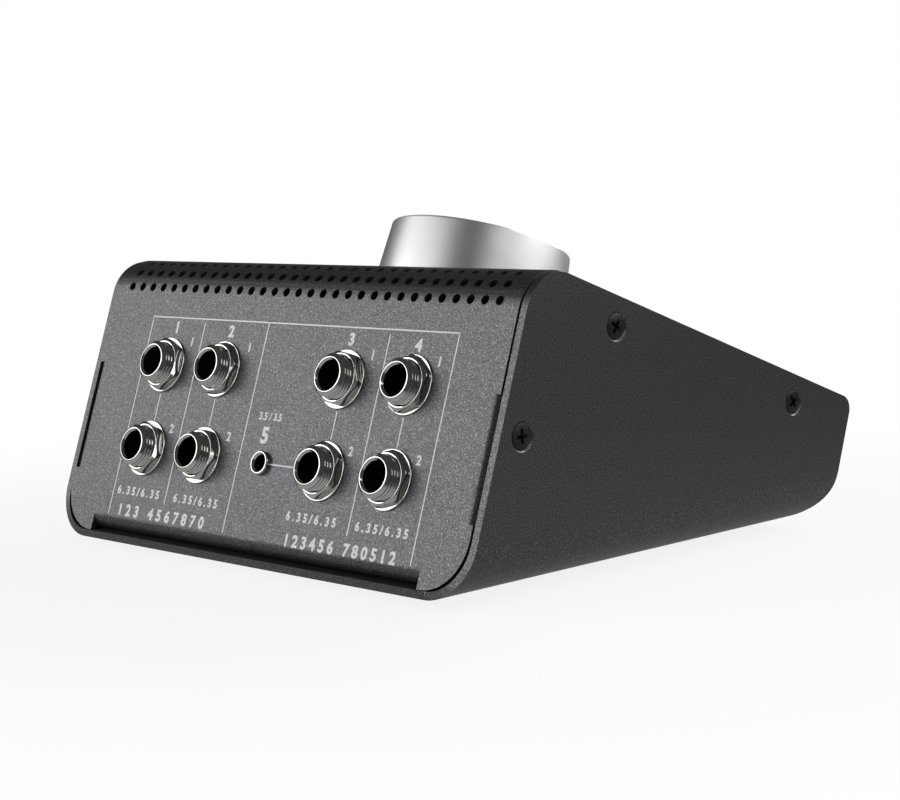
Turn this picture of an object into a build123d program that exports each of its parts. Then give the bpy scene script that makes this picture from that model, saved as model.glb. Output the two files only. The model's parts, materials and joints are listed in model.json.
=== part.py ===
from build123d import *
from math import cos, radians, sin, tan
import os

os.makedirs("parts", exist_ok=True)

# Studio monitor controller: a bent-sheet desktop case, tipped forward, with a big
# attenuator knob and five push buttons on top and nine sockets on the rear face.
# Millimetres, +Z up, user at -Y, sockets at +Y, origin under the middle of the feet.

# ---- Case ----
case_width = 135.0
case_depth = 117.0  # rear face to front face, along the sloping top
case_height = 69.2  # underside's rear edge to the top, along the rear face
lean = 19.0  # degrees that the rear face leans forward
foot_height = 2.0
shell_sheet = 1.7  # steel with its powder coat
shell_bend_radius = 11.0
rear_top_radius = 10.0
front_top_radius = 3.5
front_bottom_radius = 12.0
floor_front_inset = 5.56  # shell's floor ends this far behind the front corner

# ---- Cover ----
cover_sheet = 1.5
cover_rise = 0.3  # cover's surface above the shell's cut edges
cover_side_gap = 0.3
floor_gap = 0.1  # flanges above the shell's floor
cover_nose_radius = 9.0  # bend under the front
cover_corner_ease = 1.5  # cover's lower corners rounder than the shell's
tab_bend_radius = 0.4  # inside of the tight bends
floor_tab_bend_radius = 1.5  # inside of the wider bend to the floor tab
tab_length = 12.0
rear_tab_low = 15.8
rear_tab_high = 41.8
top_flange_rear_inset = 13.0
top_flange_front_inset = 10.0
floor_tab_inset = 13.4  # floor tab's ends in from the case's sides
vent_radius = 1.05
vent_pitch = 4.0
vent_side_inset = 7.5
vent_rows = 3
vent_first_angle = 8.0  # degrees up the rear bend

# ---- Screws and feet ----
screw_radius = 1.5
screw_head_radius = 3.05
screw_length = 6.0
screw_hole_clearance = 0.2
tapped_hole_clearance = 0.05
screw_recess_length = 3.5
screw_recess_width = 0.8
screw_recess_depth = 1.3
screw_recess_taper = 12.0
screw_edge_distance = 6.2
rear_screw_height = 35.0
top_screw_rear_inset = 27.4
top_screw_front_inset = 23.2
floor_screw_side_inset = 33.5
foot_radius = 6.0
foot_edge = 0.5
foot_side_inset = 24.0
foot_rear_inset = 20.0
foot_front_inset = 19.75

# ---- Sockets ----
jack_outer_x = 40.1
jack_inner_x = 20.2
jack_upper_row = 42.2
jack_lower_row = 22.4
jack_bore_radius = 3.25
jack_thread_radius = 4.7
jack_protrusion = 5.0
jack_body_width = 15.0
jack_body_height = 16.0
jack_body_length = 25.3
jack_body_edge = 0.6
jack_wall = 0.9  # moulded wall beside the contact slots
jack_plug_clearance = 0.4  # moulded passage round the plug
bushing_flange_radius = 5.6
bushing_flange_thickness = 1.5
bushing_spigot_radius = 4.4
bushing_spigot_length = 2.8
jack_mouth = 0.4  # bevel round the bore
thread_tip = 0.75  # lead's drop below the thread
thread_lead = 0.5
thread_turns = 4
thread_pitch = 0.8
thread_groove = 0.35
seat_clearance = 0.05
thread_clearance = 0.15
contact_slot_width = 3.6
contact_slot_start = 9.0
lug_slot_width = 2.6
jack_washer_radius = 6.5
jack_washer_thickness = 0.4
washer_edge = 0.12
jack_nut_flats = 11.1
jack_nut_thickness = 1.6
nut_corner_cut = 0.25
nut_front_cut = 1.1
nut_cone_height = 0.5
jack_nut_turns = (8.0, 41.0, 22.0, 52.0, 15.0, 30.0, 3.0, 47.0)
mini_x = -0.65
mini_row = 22.4
mini_bore_radius = 1.8
mini_barrel_radius = 2.5
mini_protrusion = 1.4
mini_mouth = 0.15
mini_tip = 0.2
mini_lead = 0.25
mini_body_width = 8.0
mini_body_height = 10.0
mini_body_length = 12.0
mini_wall = 0.8
mini_plug_clearance = 0.3
mini_flange_rim = 0.6
mini_flange_thickness = 1.0
mini_spigot_length = 1.5
mini_slot_width = 2.0
mini_slot_start = 4.0

# ---- Contacts ----
spring_thickness = 0.35
spring_width = 2.8
tip_contact = 22.5  # in from the rear face
ring_contact = 16.2
nib_reach = 0.6  # into the plug's way
nib_ramp = 2.2
nib_front = 2.0
nib_front_rise = 0.4
spring_mouth = 2.8
spring_mouth_rise = 2.2
tail_inset = 0.9
lug_width = 1.8
lug_clearance = 0.3
lug_tail_inset = 0.6
pin_stand = 0.8  # tails and pins past their board
pin_slot_clearance = 0.6
mini_spring_thickness = 0.25
mini_spring_width = 1.4
mini_tip_contact = 10.5
mini_ring_contact = 7.5
mini_nib_reach = 0.3
mini_nib_ramp = 1.2
mini_nib_rise = 0.6
mini_tail_row = 3.4
mini_tail_stand = 0.6
mini_tail_hole_radius = 0.9

# ---- Boards ----
board_thickness = 1.6
jack_board_side_inset = 11.5
jack_board_low = 13.6
jack_board_high = 52.0
control_board_side_inset = 9.5
control_board_rear = 32.0
control_board_front_inset = 6.0
control_board_drop = 15.5  # board's face below the inside of the top
control_board_window_gap = 0.5
standoff_flats = 5.5
standoff_side_inset = 14.5
standoff_edge_distance = 6.0
board_screw_head_radius = 2.75
board_screw_head_height = 1.9
board_screw_recess_length = 3.2
board_screw_recess_width = 0.8
board_screw_recess_depth = 1.1
mini_board_width = 14.0
mini_board_height = 18.0
mini_board_rise = 1.0  # board's middle above the mini socket
pin_pitch = 2.54
pin_count = 4
pin_width = 0.6
pin_hole = 1.0
pin_block_width = 2.5
pin_edge_distance = 2.5
ribbon_x = 0.0
ribbon_width = 12.7
ribbon_thickness = 0.9
ribbon_bend_radius = 5.9
ribbon_header_depth = 76.0
ribbon_drop = 6.6  # cable's run down from the upper plug
ribbon_plug_length = 9.4
ribbon_plug_thickness = 8.4
ribbon_plug_side = 3.5
ribbon_plug_edge = 0.6

# ---- Attenuator and knob ----
knob_depth = 52.0
knob_base_radius = 23.1
knob_top_radius = 21.6
knob_gap = 0.8
knob_height = 17.8
knob_wall = 2.2
knob_crown = 3.5
knob_edge = 0.5
knob_boss_radius = 9.0
hub_radius = 5.6
hub_clearance = 1.6  # hub above the attenuator's bushing
hub_cap = 1.0
hub_cap_gap = 0.2
shaft_radius = 3.0
shaft_flat_depth = 1.5
shaft_running_clearance = 0.05
shaft_end_gap = 1.0
pot_width = 22.0
pot_corner = 1.5
pot_plate_thickness = 2.0
pot_gang_thickness = 5.0
pot_gang_count = 4
pot_gang_inset = 0.5
pot_gang_corner = 2.5
pot_gang_gap = 0.1
pot_gang_bore_gap = 0.35
pot_thread_radius = 4.5
pot_bushing_rise = 5.0
pot_bushing_edge = 0.5
pot_nut_flats = 12.0
pot_nut_thickness = 2.5
pot_washer_radius = 7.2
pot_washer_thickness = 0.8
pot_nut_turn = 10.0
shaft_collar_radius = 5.0
shaft_collar_thickness = 1.0
shaft_collar_gap = 0.25
marker_width = 1.6
marker_length = 10.9
marker_depth = 0.6
marker_rim_distance = 1.96

# ---- Push buttons ----
side_button_inset = 21.5
side_button_front_inset = 33.0
front_button_pitch = 28.0
front_button_front_inset = 16.0
button_width = 13.0
button_length = 8.0
button_corner = 1.5
button_edge = 0.7
button_rise = 3.0
button_travel = 2.5
button_gap = 0.35
button_lip = 0.9
button_lip_reach = 1.2
button_lip_gap = 0.3
button_skirt = 2.2  # cap below its lip
switch_width = 8.5
switch_height = 8.0
switch_base = 0.8
switch_edge = 0.4
plunger_width = 3.4
plunger_gap = 0.3
plunger_fit = 0.02
plunger_grip = 3.4  # plunger inside its cap

# Derived places
lean_sin = sin(radians(lean))
lean_cos = cos(radians(lean))
front_corner = (case_depth - front_top_radius) * lean_cos + (case_height - front_top_radius) * lean_sin
case_length = front_corner + front_top_radius + cover_rise
rear_y = case_length / 2
panel_back = cover_sheet - cover_rise
top_face = case_height + cover_rise
top_inside = top_face - cover_sheet
cover_width = case_width - 2 * (shell_sheet + cover_side_gap)
cover_corner_radius = shell_bend_radius - shell_sheet - cover_side_gap + cover_corner_ease
floor_lift = shell_sheet + floor_gap
floor_tab_half_width = case_width / 2 - floor_tab_inset
top_flange_length = case_depth - top_flange_rear_inset - top_flange_front_inset
vent_count = 1 + 2 * int((case_width / 2 - vent_side_inset) / vent_pitch)
bend_reach = tab_bend_radius + cover_sheet
cutter_reach = 2 * cover_sheet  # cutters stand this far past the sheet's outer face
top_screw_depths = (top_screw_rear_inset, case_depth - top_screw_front_inset)
floor_screw_x = case_width / 2 - floor_screw_side_inset
foot_x = case_width / 2 - foot_side_inset
jack_columns = (jack_outer_x, jack_inner_x, -jack_inner_x, -jack_outer_x)
jack_rows = (jack_upper_row, jack_lower_row)
jack_places = [(x, row) for row in jack_rows for x in jack_columns]
bushing_back = panel_back + bushing_flange_thickness + bushing_spigot_length
contact_slot_reach = jack_body_height / 2 - jack_wall
lug_slot_reach = jack_body_width / 2 - jack_wall
tail_row = contact_slot_reach - tail_inset
lug_tail = lug_slot_reach - lug_tail_inset
board_face = top_inside - control_board_drop
board_back = board_face - board_thickness
jack_board_front = panel_back + jack_body_length
jack_board_back = jack_board_front + board_thickness
control_board_front = case_depth - control_board_front_inset
standoff_x = case_width / 2 - standoff_side_inset
standoff_depths = (control_board_rear + standoff_edge_distance, control_board_front - standoff_edge_distance)
standoff_places = [(x, depth) for x in (-standoff_x, standoff_x) for depth in standoff_depths]
mini_board_front = panel_back + mini_body_length
mini_board_back = mini_board_front + board_thickness
mini_board_row = mini_row + mini_board_rise
pin_row = mini_board_row - mini_board_height / 2 + pin_edge_distance
side_button_x = case_width / 2 - side_button_inset
button_spots = [
    (-side_button_x, case_depth - side_button_front_inset),
    (side_button_x, case_depth - side_button_front_inset),
    (-front_button_pitch, case_depth - front_button_front_inset),
    (0, case_depth - front_button_front_inset),
    (front_button_pitch, case_depth - front_button_front_inset),
]

case = Plane(origin=(0, rear_y, foot_height), x_dir=(1, 0, 0), z_dir=(0, -lean_sin, lean_cos))


def spot(x, depth, height):
    """A point of the case: across, in from the rear face, up the rear face."""
    return case.from_local_coords(Vector(x, -depth, height))


def top_plane(x, depth, height):
    """Plane that faces up out of the sloping top."""
    return Plane(origin=spot(x, depth, height), x_dir=(1, 0, 0), z_dir=case.z_dir)


def rear_plane(x, depth, height):
    """Plane that faces out of the rear, its local y up the panel."""
    return Plane(origin=spot(x, depth, height), x_dir=(-1, 0, 0), z_dir=case.y_dir)


def side_plane(x, depth=0.0, height=0.0):
    """Plane that faces +X, its local x out of the rear and its local y up the panel."""
    return Plane(origin=spot(x, depth, height), x_dir=case.y_dir, z_dir=(1, 0, 0))


def level_plane(height):
    """Level plane that height above the underside of the case."""
    return Plane.XY.offset(foot_height + height)


def finish(builder, label):
    """Name a finished piece and write its file."""
    builder.part.label = label
    export_step(builder.part, f"parts/{label}.step")


def floor_at(depth, lift):
    """Height up the case, at a depth, of a level surface lift above the underside."""
    return (lift + depth * lean_sin) / lean_cos


def wedge(inset, lift, rear_top, front_top, front_bottom, rear_bottom=0.0):
    """Side outline of the case, drawn inset from it, with its corners rounded."""
    back = -inset
    front = inset - case_depth
    top = case_height - inset
    with BuildSketch() as face:
        with BuildLine():
            Polyline(
                (back, floor_at(inset, lift)),
                (back, top),
                (front, top),
                (front, floor_at(case_depth - inset, lift)),
                close=True,
            )
        make_face()
        fillet(face.vertices().group_by(Axis.Y)[-1].sort_by(Axis.X)[-1], rear_top)
        fillet(face.vertices().group_by(Axis.Y)[-1].sort_by(Axis.X)[0], front_top)
        fillet(face.vertices().group_by(Axis.X)[0].sort_by(Axis.Y)[0], front_bottom)
        if rear_bottom > 0:
            fillet(face.vertices().sort_by(Axis.Y)[0], rear_bottom)
    return face.sketch


def cover_outline(inset, rear_bottom=0.0):
    """Side outline of the cover's outer face, or of its inner face a sheet further in."""
    into_sheet = inset + cover_rise
    return wedge(
        inset,
        floor_lift + into_sheet,
        rear_top_radius - inset,
        front_top_radius - inset,
        cover_nose_radius - into_sheet,
        rear_bottom,
    )


def trough(width, lift, radius):
    """Cross-section of the trough between the shell's sides, open upwards."""
    with BuildSketch() as face:
        with Locations((0, foot_height + lift)):
            Rectangle(width, 2 * case_height, align=(Align.CENTER, Align.MIN))
        fillet(face.vertices().group_by(Axis.Y)[0], radius)
    return face.sketch


def bend(leg, other_leg):
    """Tight bend of the cover's sheet, its outer corner at the local origin."""
    with BuildSketch() as face:
        with BuildLine():
            Polyline(
                (0, 0),
                (-leg, 0),
                (-leg, -cover_sheet),
                (-cover_sheet, -cover_sheet),
                (-cover_sheet, -other_leg),
                (0, -other_leg),
                close=True,
            )
        make_face()
        fillet(face.vertices().sort_by(Axis((0, 0, 0), (1, 1, 0)))[-1], bend_reach)
        inner = face.vertices().sort_by_distance((-cover_sheet, -cover_sheet))[0]
        fillet(inner, tab_bend_radius)
    return face.sketch


def side_screw_planes(sign):
    """Planes on one outer side, facing out, at that side's screws."""
    places = [(screw_edge_distance, rear_screw_height)]
    places += [(depth, case_height - screw_edge_distance) for depth in top_screw_depths]
    return [
        Plane(origin=spot(sign * case_width / 2, *place), x_dir=case.y_dir, z_dir=(sign, 0, 0))
        for place in places
    ]


front_y = rear_y - case_depth / lean_cos
corner_factor = 1 / tan(radians((90 + lean) / 2))
nose_flange_start = front_y + cover_nose_radius * corner_factor
nose_flange_end = nose_flange_start + tab_length
floor_bend_reach = floor_tab_bend_radius + cover_sheet
floor_tab_reach = tab_length + floor_bend_reach
floor_tab_zone = floor_lift + floor_bend_reach / corner_factor  # height that the bend takes up
floor_screw_rows = (
    rear_y - (floor_tab_reach + floor_tab_bend_radius) / 2,
    (nose_flange_start + nose_flange_end) / 2,
)


def floor_screw_planes():
    """Planes on the underside, facing down, at the floor's screws."""
    return [
        Plane(origin=(x, y, foot_height), x_dir=(1, 0, 0), z_dir=(0, 0, -1))
        for x in (-floor_screw_x, floor_screw_x)
        for y in floor_screw_rows
    ]


# ================= Case =================

# Shell: floor and both sides from one sheet, bent along two wide radii
with BuildPart() as bottom_shell:
    with BuildSketch(side_plane(-case_width / 2)):
        add(wedge(0, 0, rear_top_radius, front_top_radius, front_bottom_radius))
    extrude(amount=case_width)
    with BuildSketch(Plane.XZ.offset(-case_length)):
        add(trough(case_width, 0, shell_bend_radius))
    extrude(amount=2 * case_length, mode=Mode.INTERSECT)
    with BuildSketch(Plane.XZ.offset(-case_length)):
        add(trough(case_width - 2 * shell_sheet, shell_sheet, shell_bend_radius - shell_sheet))
    extrude(amount=2 * case_length, mode=Mode.SUBTRACT)
    # The floor's rear edge is cut square to the sheet
    floor_width = case_width - 2 * shell_bend_radius
    with BuildSketch(level_plane(0)):
        with Locations((0, rear_y)):
            Rectangle(floor_width, 2 * shell_sheet, align=(Align.CENTER, Align.MAX))
    extrude(amount=shell_sheet)
    # and its front edge ends inside the corner's radius
    with BuildSketch(level_plane(0)):
        with Locations((0, front_y + floor_front_inset)):
            Rectangle(floor_width, 2 * front_bottom_radius, align=(Align.CENTER, Align.MAX))
    extrude(amount=2 * shell_sheet, mode=Mode.SUBTRACT)
    with Locations(*side_screw_planes(1), *side_screw_planes(-1), *floor_screw_planes()):
        CounterSinkHole(
            radius=screw_radius + screw_hole_clearance,
            counter_sink_radius=screw_head_radius + screw_hole_clearance / 2,
            depth=2 * shell_sheet,
            counter_sink_angle=90,
        )
finish(bottom_shell, "bottom_shell")

# Cover: rear panel, top and front from one sheet, with tabs that take the screws
with BuildPart() as top_cover:
    with BuildSketch(side_plane(-cover_width / 2)):
        add(cover_outline(-cover_rise))
        add(cover_outline(panel_back), mode=Mode.SUBTRACT)
    extrude(amount=cover_width)
    # open floor, apart from the flange under the nose
    with BuildSketch(level_plane(0)):
        open_rear = rear_y - floor_at(panel_back, floor_lift + cover_sheet) * lean_sin - panel_back
        with Locations((0, (nose_flange_end + open_rear) / 2)):
            Rectangle(2 * cover_width, open_rear - nose_flange_end)
    extrude(amount=floor_lift + 2 * cover_sheet, mode=Mode.SUBTRACT)
    with BuildSketch(Plane.XZ.offset(-case_length)):
        add(trough(cover_width, floor_lift, cover_corner_radius))
    extrude(amount=2 * case_length, mode=Mode.INTERSECT)
    # rear tab along the floor
    with BuildSketch(side_plane(-floor_tab_half_width)):
        Rectangle(2 * floor_tab_reach, 2 * floor_tab_zone, rotation=-lean)
    extrude(amount=2 * floor_tab_half_width, mode=Mode.SUBTRACT)
    with BuildSketch(side_plane(-floor_tab_half_width)):
        add(cover_outline(-cover_rise, floor_bend_reach))
        add(cover_outline(panel_back, floor_tab_bend_radius), mode=Mode.SUBTRACT)
        Rectangle(2 * floor_tab_reach, 2 * floor_tab_zone, rotation=-lean, mode=Mode.INTERSECT)
    extrude(amount=2 * floor_tab_half_width)
    # rear panel's side tabs, set in from its edges
    side_face = cover_width / 2
    for sign in (1, -1):
        tab_plane = Plane(
            origin=spot(sign * side_face, -cover_rise, rear_tab_low),
            x_dir=(1, 0, 0),
            z_dir=case.z_dir,
        )
        with BuildSketch(tab_plane):
            with Locations((-sign * bend_reach, 0)):
                Rectangle(
                    2 * cover_width,
                    2 * cutter_reach,
                    align=(Align.MIN if sign > 0 else Align.MAX, Align.CENTER),
                )
        extrude(amount=rear_tab_high - rear_tab_low, mode=Mode.SUBTRACT)
        with BuildSketch(tab_plane):
            strip = bend(2 * bend_reach, tab_length)
            add(strip if sign > 0 else strip.mirror(Plane.YZ))
        extrude(amount=rear_tab_high - rear_tab_low)
    # flanges down from both sides of the top
    for sign in (1, -1):
        flange_plane = Plane(
            origin=spot(sign * side_face, top_flange_rear_inset + top_flange_length, top_face),
            x_dir=(1, 0, 0),
            z_dir=-case.y_dir,
        )
        with BuildSketch(flange_plane):
            Rectangle(2 * bend_reach, 2 * cutter_reach)
        extrude(amount=-top_flange_length, mode=Mode.SUBTRACT)
        with BuildSketch(flange_plane):
            strip = bend(2 * bend_reach, tab_length)
            add(strip if sign > 0 else strip.mirror(Plane.YZ))
        extrude(amount=-top_flange_length)
    # tapped holes
    for sign in (1, -1):
        for place in side_screw_planes(sign):
            with BuildSketch(place):
                Circle(screw_radius + tapped_hole_clearance)
            extrude(amount=-screw_length, mode=Mode.SUBTRACT)
    for place in floor_screw_planes():
        with BuildSketch(place):
            Circle(screw_radius + tapped_hole_clearance)
        extrude(amount=-screw_length, mode=Mode.SUBTRACT)
    # air holes in rows round the rear bend
    outer_bend = rear_top_radius + cover_rise
    for row in range(vent_rows):
        angle = radians(vent_first_angle) + row * vent_pitch / outer_bend
        centre = spot(
            0,
            rear_top_radius - outer_bend * cos(angle),
            case_height - rear_top_radius + outer_bend * sin(angle),
        )
        outward = case.y_dir * cos(angle) + case.z_dir * sin(angle)
        with BuildSketch(Plane(origin=centre, x_dir=(1, 0, 0), z_dir=outward)):
            with GridLocations(vent_pitch, vent_pitch, vent_count, 1):
                Circle(vent_radius)
        extrude(amount=2 * cover_sheet, both=True, mode=Mode.SUBTRACT)
    # sockets, attenuator and buttons
    with BuildSketch(rear_plane(0, -cover_rise, 0)):
        with Locations(*[(-x, row) for x, row in jack_places]):
            Circle(jack_thread_radius + thread_clearance)
        with Locations((-mini_x, mini_row)):
            Circle(mini_barrel_radius + thread_clearance)
    extrude(amount=-2 * cover_sheet, mode=Mode.SUBTRACT)
    with BuildSketch(top_plane(0, 0, top_face)):
        with Locations((0, -knob_depth)):
            Circle(pot_thread_radius + thread_clearance)
        with Locations(*[(x, -depth) for x, depth in button_spots]):
            RectangleRounded(
                button_width + 2 * button_gap, button_length + 2 * button_gap, button_corner + button_gap
            )
    extrude(amount=-2 * cover_sheet, mode=Mode.SUBTRACT)
finish(top_cover, "top_cover")


def countersunk_screw(place):
    """Cross-head countersunk screw, its head flush in a plane that faces out."""
    with BuildPart(place) as screw:
        Cone(
            bottom_radius=screw_radius,
            top_radius=screw_head_radius,
            height=screw_head_radius - screw_radius,
            align=(Align.CENTER, Align.CENTER, Align.MAX),
        )
        with Locations((0, 0, screw_radius - screw_head_radius)):
            Cylinder(
                screw_radius,
                screw_length - screw_head_radius + screw_radius,
                align=(Align.CENTER, Align.CENTER, Align.MAX),
            )
        with BuildSketch(place):
            Rectangle(screw_recess_length, screw_recess_width)
            Rectangle(screw_recess_width, screw_recess_length)
        extrude(amount=-screw_recess_depth, taper=screw_recess_taper, mode=Mode.SUBTRACT)
    return screw.part


with BuildPart() as case_screws:
    for place in [*side_screw_planes(1), *side_screw_planes(-1), *floor_screw_planes()]:
        add(countersunk_screw(place.offset(-screw_hole_clearance / 2)))
finish(case_screws, "case_screws")

with BuildPart() as rubber_feet:
    with BuildSketch(Plane.XY):
        for y in (rear_y - foot_rear_inset, front_y + foot_front_inset):
            with Locations((-foot_x, y), (foot_x, y)):
                Circle(foot_radius)
    extrude(amount=foot_height)
    chamfer(rubber_feet.edges().group_by(Axis.Z)[0], foot_edge)
finish(rubber_feet, "rubber_feet")

# ================= Sockets =================


def bushing_outline(
    radius, bore, mouth, tip, lead, reach, groove_count, flange_radius, flange, spigot_radius, spigot
):
    """Half section of a socket bushing: local x out of the panel, local y outward."""
    with BuildSketch() as face:
        with BuildLine():
            points = [(-panel_back - flange - spigot, bore), (-panel_back - flange - spigot, spigot_radius)]
            points += [(-panel_back - flange, spigot_radius), (-panel_back - flange, flange_radius)]
            points += [(-panel_back, flange_radius), (-panel_back, radius)]
            points += [(cover_rise, radius)]
            start = reach - lead - groove_count * thread_pitch
            for turn in range(groove_count):
                ridge = start + turn * thread_pitch
                points += [(ridge, radius), (ridge + thread_pitch / 2, radius - thread_groove)]
            points += [(reach - lead, radius), (reach, radius - tip), (reach, bore + mouth)]
            points += [(reach - mouth, bore)]
            Polyline(*points, close=True)
        make_face()
    return face.sketch


for number, (x, row) in enumerate(jack_places, start=1):
    # Moulded body, with slots that hold the contact springs
    with BuildPart() as jack_body:
        with BuildSketch(rear_plane(x, panel_back, row)):
            Rectangle(jack_body_width, jack_body_height)
        extrude(amount=-jack_body_length)
        chamfer(jack_body.edges().filter_by(Axis(spot(0, 0, 0), case.y_dir)), jack_body_edge)
        with BuildSketch(rear_plane(x, panel_back, row)):
            Circle(jack_bore_radius + jack_plug_clearance)
        extrude(amount=-jack_body_length, mode=Mode.SUBTRACT)
        with BuildSketch(rear_plane(x, panel_back, row)):
            Circle(bushing_flange_radius + seat_clearance)
        extrude(amount=-bushing_flange_thickness, mode=Mode.SUBTRACT)
        with BuildSketch(rear_plane(x, panel_back, row)):
            Circle(bushing_spigot_radius + seat_clearance)
        extrude(amount=-bushing_flange_thickness - bushing_spigot_length, mode=Mode.SUBTRACT)
        with BuildSketch(rear_plane(x, panel_back + contact_slot_start, row)):
            Rectangle(contact_slot_width, 2 * contact_slot_reach)
        extrude(amount=contact_slot_start - jack_body_length, mode=Mode.SUBTRACT)
        with BuildSketch(rear_plane(x, bushing_back, row)):
            Rectangle(lug_slot_reach, lug_slot_width, align=(Align.MAX, Align.CENTER))
        extrude(amount=-jack_body_length, mode=Mode.SUBTRACT)
    finish(jack_body, f"jack_body_{number}")

    # Threaded bushing that the plug's sleeve slides into
    with BuildPart() as jack_bushing:
        with BuildSketch(side_plane(x, 0, row)):
            add(
                bushing_outline(
                    jack_thread_radius,
                    jack_bore_radius,
                    jack_mouth,
                    thread_tip,
                    thread_lead,
                    jack_protrusion,
                    thread_turns,
                    bushing_flange_radius,
                    bushing_flange_thickness,
                    bushing_spigot_radius,
                    bushing_spigot_length,
                )
            )
        revolve(axis=Axis(spot(x, 0, row), case.y_dir))
    finish(jack_bushing, f"jack_bushing_{number}")

with BuildPart() as jack_washers:
    for x, row in jack_places:
        with BuildSketch(rear_plane(x, -cover_rise, row)):
            Circle(jack_washer_radius)
            Circle(jack_thread_radius + thread_clearance, mode=Mode.SUBTRACT)
        extrude(amount=jack_washer_thickness)
    rims = jack_washers.edges().filter_by(GeomType.CIRCLE).group_by(SortBy.RADIUS)[-1]
    chamfer(rims, washer_edge)
finish(jack_washers, "jack_washers")


def hex_nut(place, flats, thickness, hole_radius, turn):
    """Hexagon nut standing on a plane, its outer corners chamfered."""
    corner = flats / 2 / cos(radians(30))
    with BuildPart() as nut:
        with BuildSketch(place):
            RegularPolygon(flats / 2, 6, major_radius=False, rotation=turn)
        extrude(amount=thickness)
        across = Plane(origin=place.origin, x_dir=place.z_dir, z_dir=place.x_dir)
        with BuildSketch(across):
            with BuildLine():
                Polyline(
                    (0, 0),
                    (0, corner - nut_corner_cut),
                    (thickness - nut_cone_height, corner - nut_corner_cut),
                    (thickness, corner - nut_front_cut),
                    (thickness, 0),
                    close=True,
                )
            make_face()
        revolve(axis=Axis(place.origin, place.z_dir), mode=Mode.INTERSECT)
        with BuildSketch(place):
            Circle(hole_radius)
        extrude(amount=thickness, mode=Mode.SUBTRACT)
    return nut.part


with BuildPart() as jack_nuts:
    for (x, row), turn in zip(jack_places, jack_nut_turns):
        stand = rear_plane(x, -cover_rise - jack_washer_thickness, row)
        add(hex_nut(stand, jack_nut_flats, jack_nut_thickness, jack_thread_radius + thread_clearance, turn))
finish(jack_nuts, "jack_nuts")

tail_end = jack_board_back + pin_stand


def contact_spring(x, row, contact, side):
    """Leaf spring from its solder tail to a nib that reaches into the plug's way."""
    with BuildPart() as spring:
        with BuildSketch(side_plane(x, 0, row)):
            with BuildLine() as path:
                Polyline(
                    (-tail_end, side * tail_row),
                    (-contact - nib_ramp, side * tail_row),
                    (-contact, side * (jack_bore_radius - nib_reach)),
                    (-contact + nib_front, side * (jack_bore_radius + nib_front_rise)),
                    (-contact + spring_mouth, side * (jack_bore_radius + spring_mouth_rise)),
                )
            trace(path.line, spring_thickness)
        extrude(amount=spring_width / 2, both=True)
    return spring.part


with BuildPart() as jack_tip_springs:
    for x, row in jack_places:
        add(contact_spring(x, row, tip_contact, 1))
finish(jack_tip_springs, "jack_tip_springs")

with BuildPart() as jack_ring_springs:
    for x, row in jack_places:
        add(contact_spring(x, row, ring_contact, -1))
finish(jack_ring_springs, "jack_ring_springs")

with BuildPart() as jack_sleeve_lugs:
    lug_root = bushing_back + spring_thickness / 2
    for x, row in jack_places:
        lug_plane = Plane(origin=spot(x, 0, row), x_dir=case.y_dir, z_dir=-case.z_dir)
        with BuildSketch(lug_plane):
            with BuildLine() as path:
                Polyline(
                    (-lug_root, jack_bore_radius + lug_clearance),
                    (-lug_root, lug_tail),
                    (-tail_end, lug_tail),
                )
            trace(path.line, spring_thickness)
        extrude(amount=lug_width / 2, both=True)
finish(jack_sleeve_lugs, "jack_sleeve_lugs")

# Mini socket with its own small board
with BuildPart() as mini_jack_body:
    with BuildSketch(rear_plane(mini_x, panel_back, mini_row)):
        Rectangle(mini_body_width, mini_body_height)
    extrude(amount=-mini_body_length)
    with BuildSketch(rear_plane(mini_x, panel_back, mini_row)):
        Circle(mini_bore_radius + mini_plug_clearance)
    extrude(amount=-mini_body_length, mode=Mode.SUBTRACT)
    with BuildSketch(rear_plane(mini_x, panel_back, mini_row)):
        Circle(mini_barrel_radius + mini_flange_rim + seat_clearance)
    extrude(amount=-mini_flange_thickness, mode=Mode.SUBTRACT)
    with BuildSketch(rear_plane(mini_x, panel_back, mini_row)):
        Circle(mini_barrel_radius + seat_clearance)
    extrude(amount=-mini_flange_thickness - mini_spigot_length, mode=Mode.SUBTRACT)
    with BuildSketch(rear_plane(mini_x, panel_back + mini_slot_start, mini_row)):
        Rectangle(mini_slot_width, mini_body_height - 2 * mini_wall)
    extrude(amount=-mini_body_length, mode=Mode.SUBTRACT)
finish(mini_jack_body, "mini_jack_body")

with BuildPart() as mini_jack_barrel:
    with BuildSketch(side_plane(mini_x, 0, mini_row)):
        add(
            bushing_outline(
                mini_barrel_radius,
                mini_bore_radius,
                mini_mouth,
                mini_tip,
                mini_lead,
                mini_protrusion,
                0,
                mini_barrel_radius + mini_flange_rim,
                mini_flange_thickness,
                mini_barrel_radius,
                mini_spigot_length,
            )
        )
    revolve(axis=Axis(spot(mini_x, 0, mini_row), case.y_dir))
finish(mini_jack_barrel, "mini_jack_barrel")

with BuildPart() as mini_jack_springs:
    for side, contact in ((1, mini_tip_contact), (-1, mini_ring_contact)):
        with BuildSketch(side_plane(mini_x, 0, mini_row)):
            with BuildLine() as path:
                Polyline(
                    (-mini_board_back - mini_tail_stand, side * mini_tail_row),
                    (-contact - mini_nib_ramp, side * mini_tail_row),
                    (-contact, side * (mini_bore_radius - mini_nib_reach)),
                    (-contact + mini_nib_ramp, side * (mini_bore_radius + mini_nib_rise)),
                )
            trace(path.line, mini_spring_thickness)
        extrude(amount=mini_spring_width / 2, both=True)
finish(mini_jack_springs, "mini_jack_springs")

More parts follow.
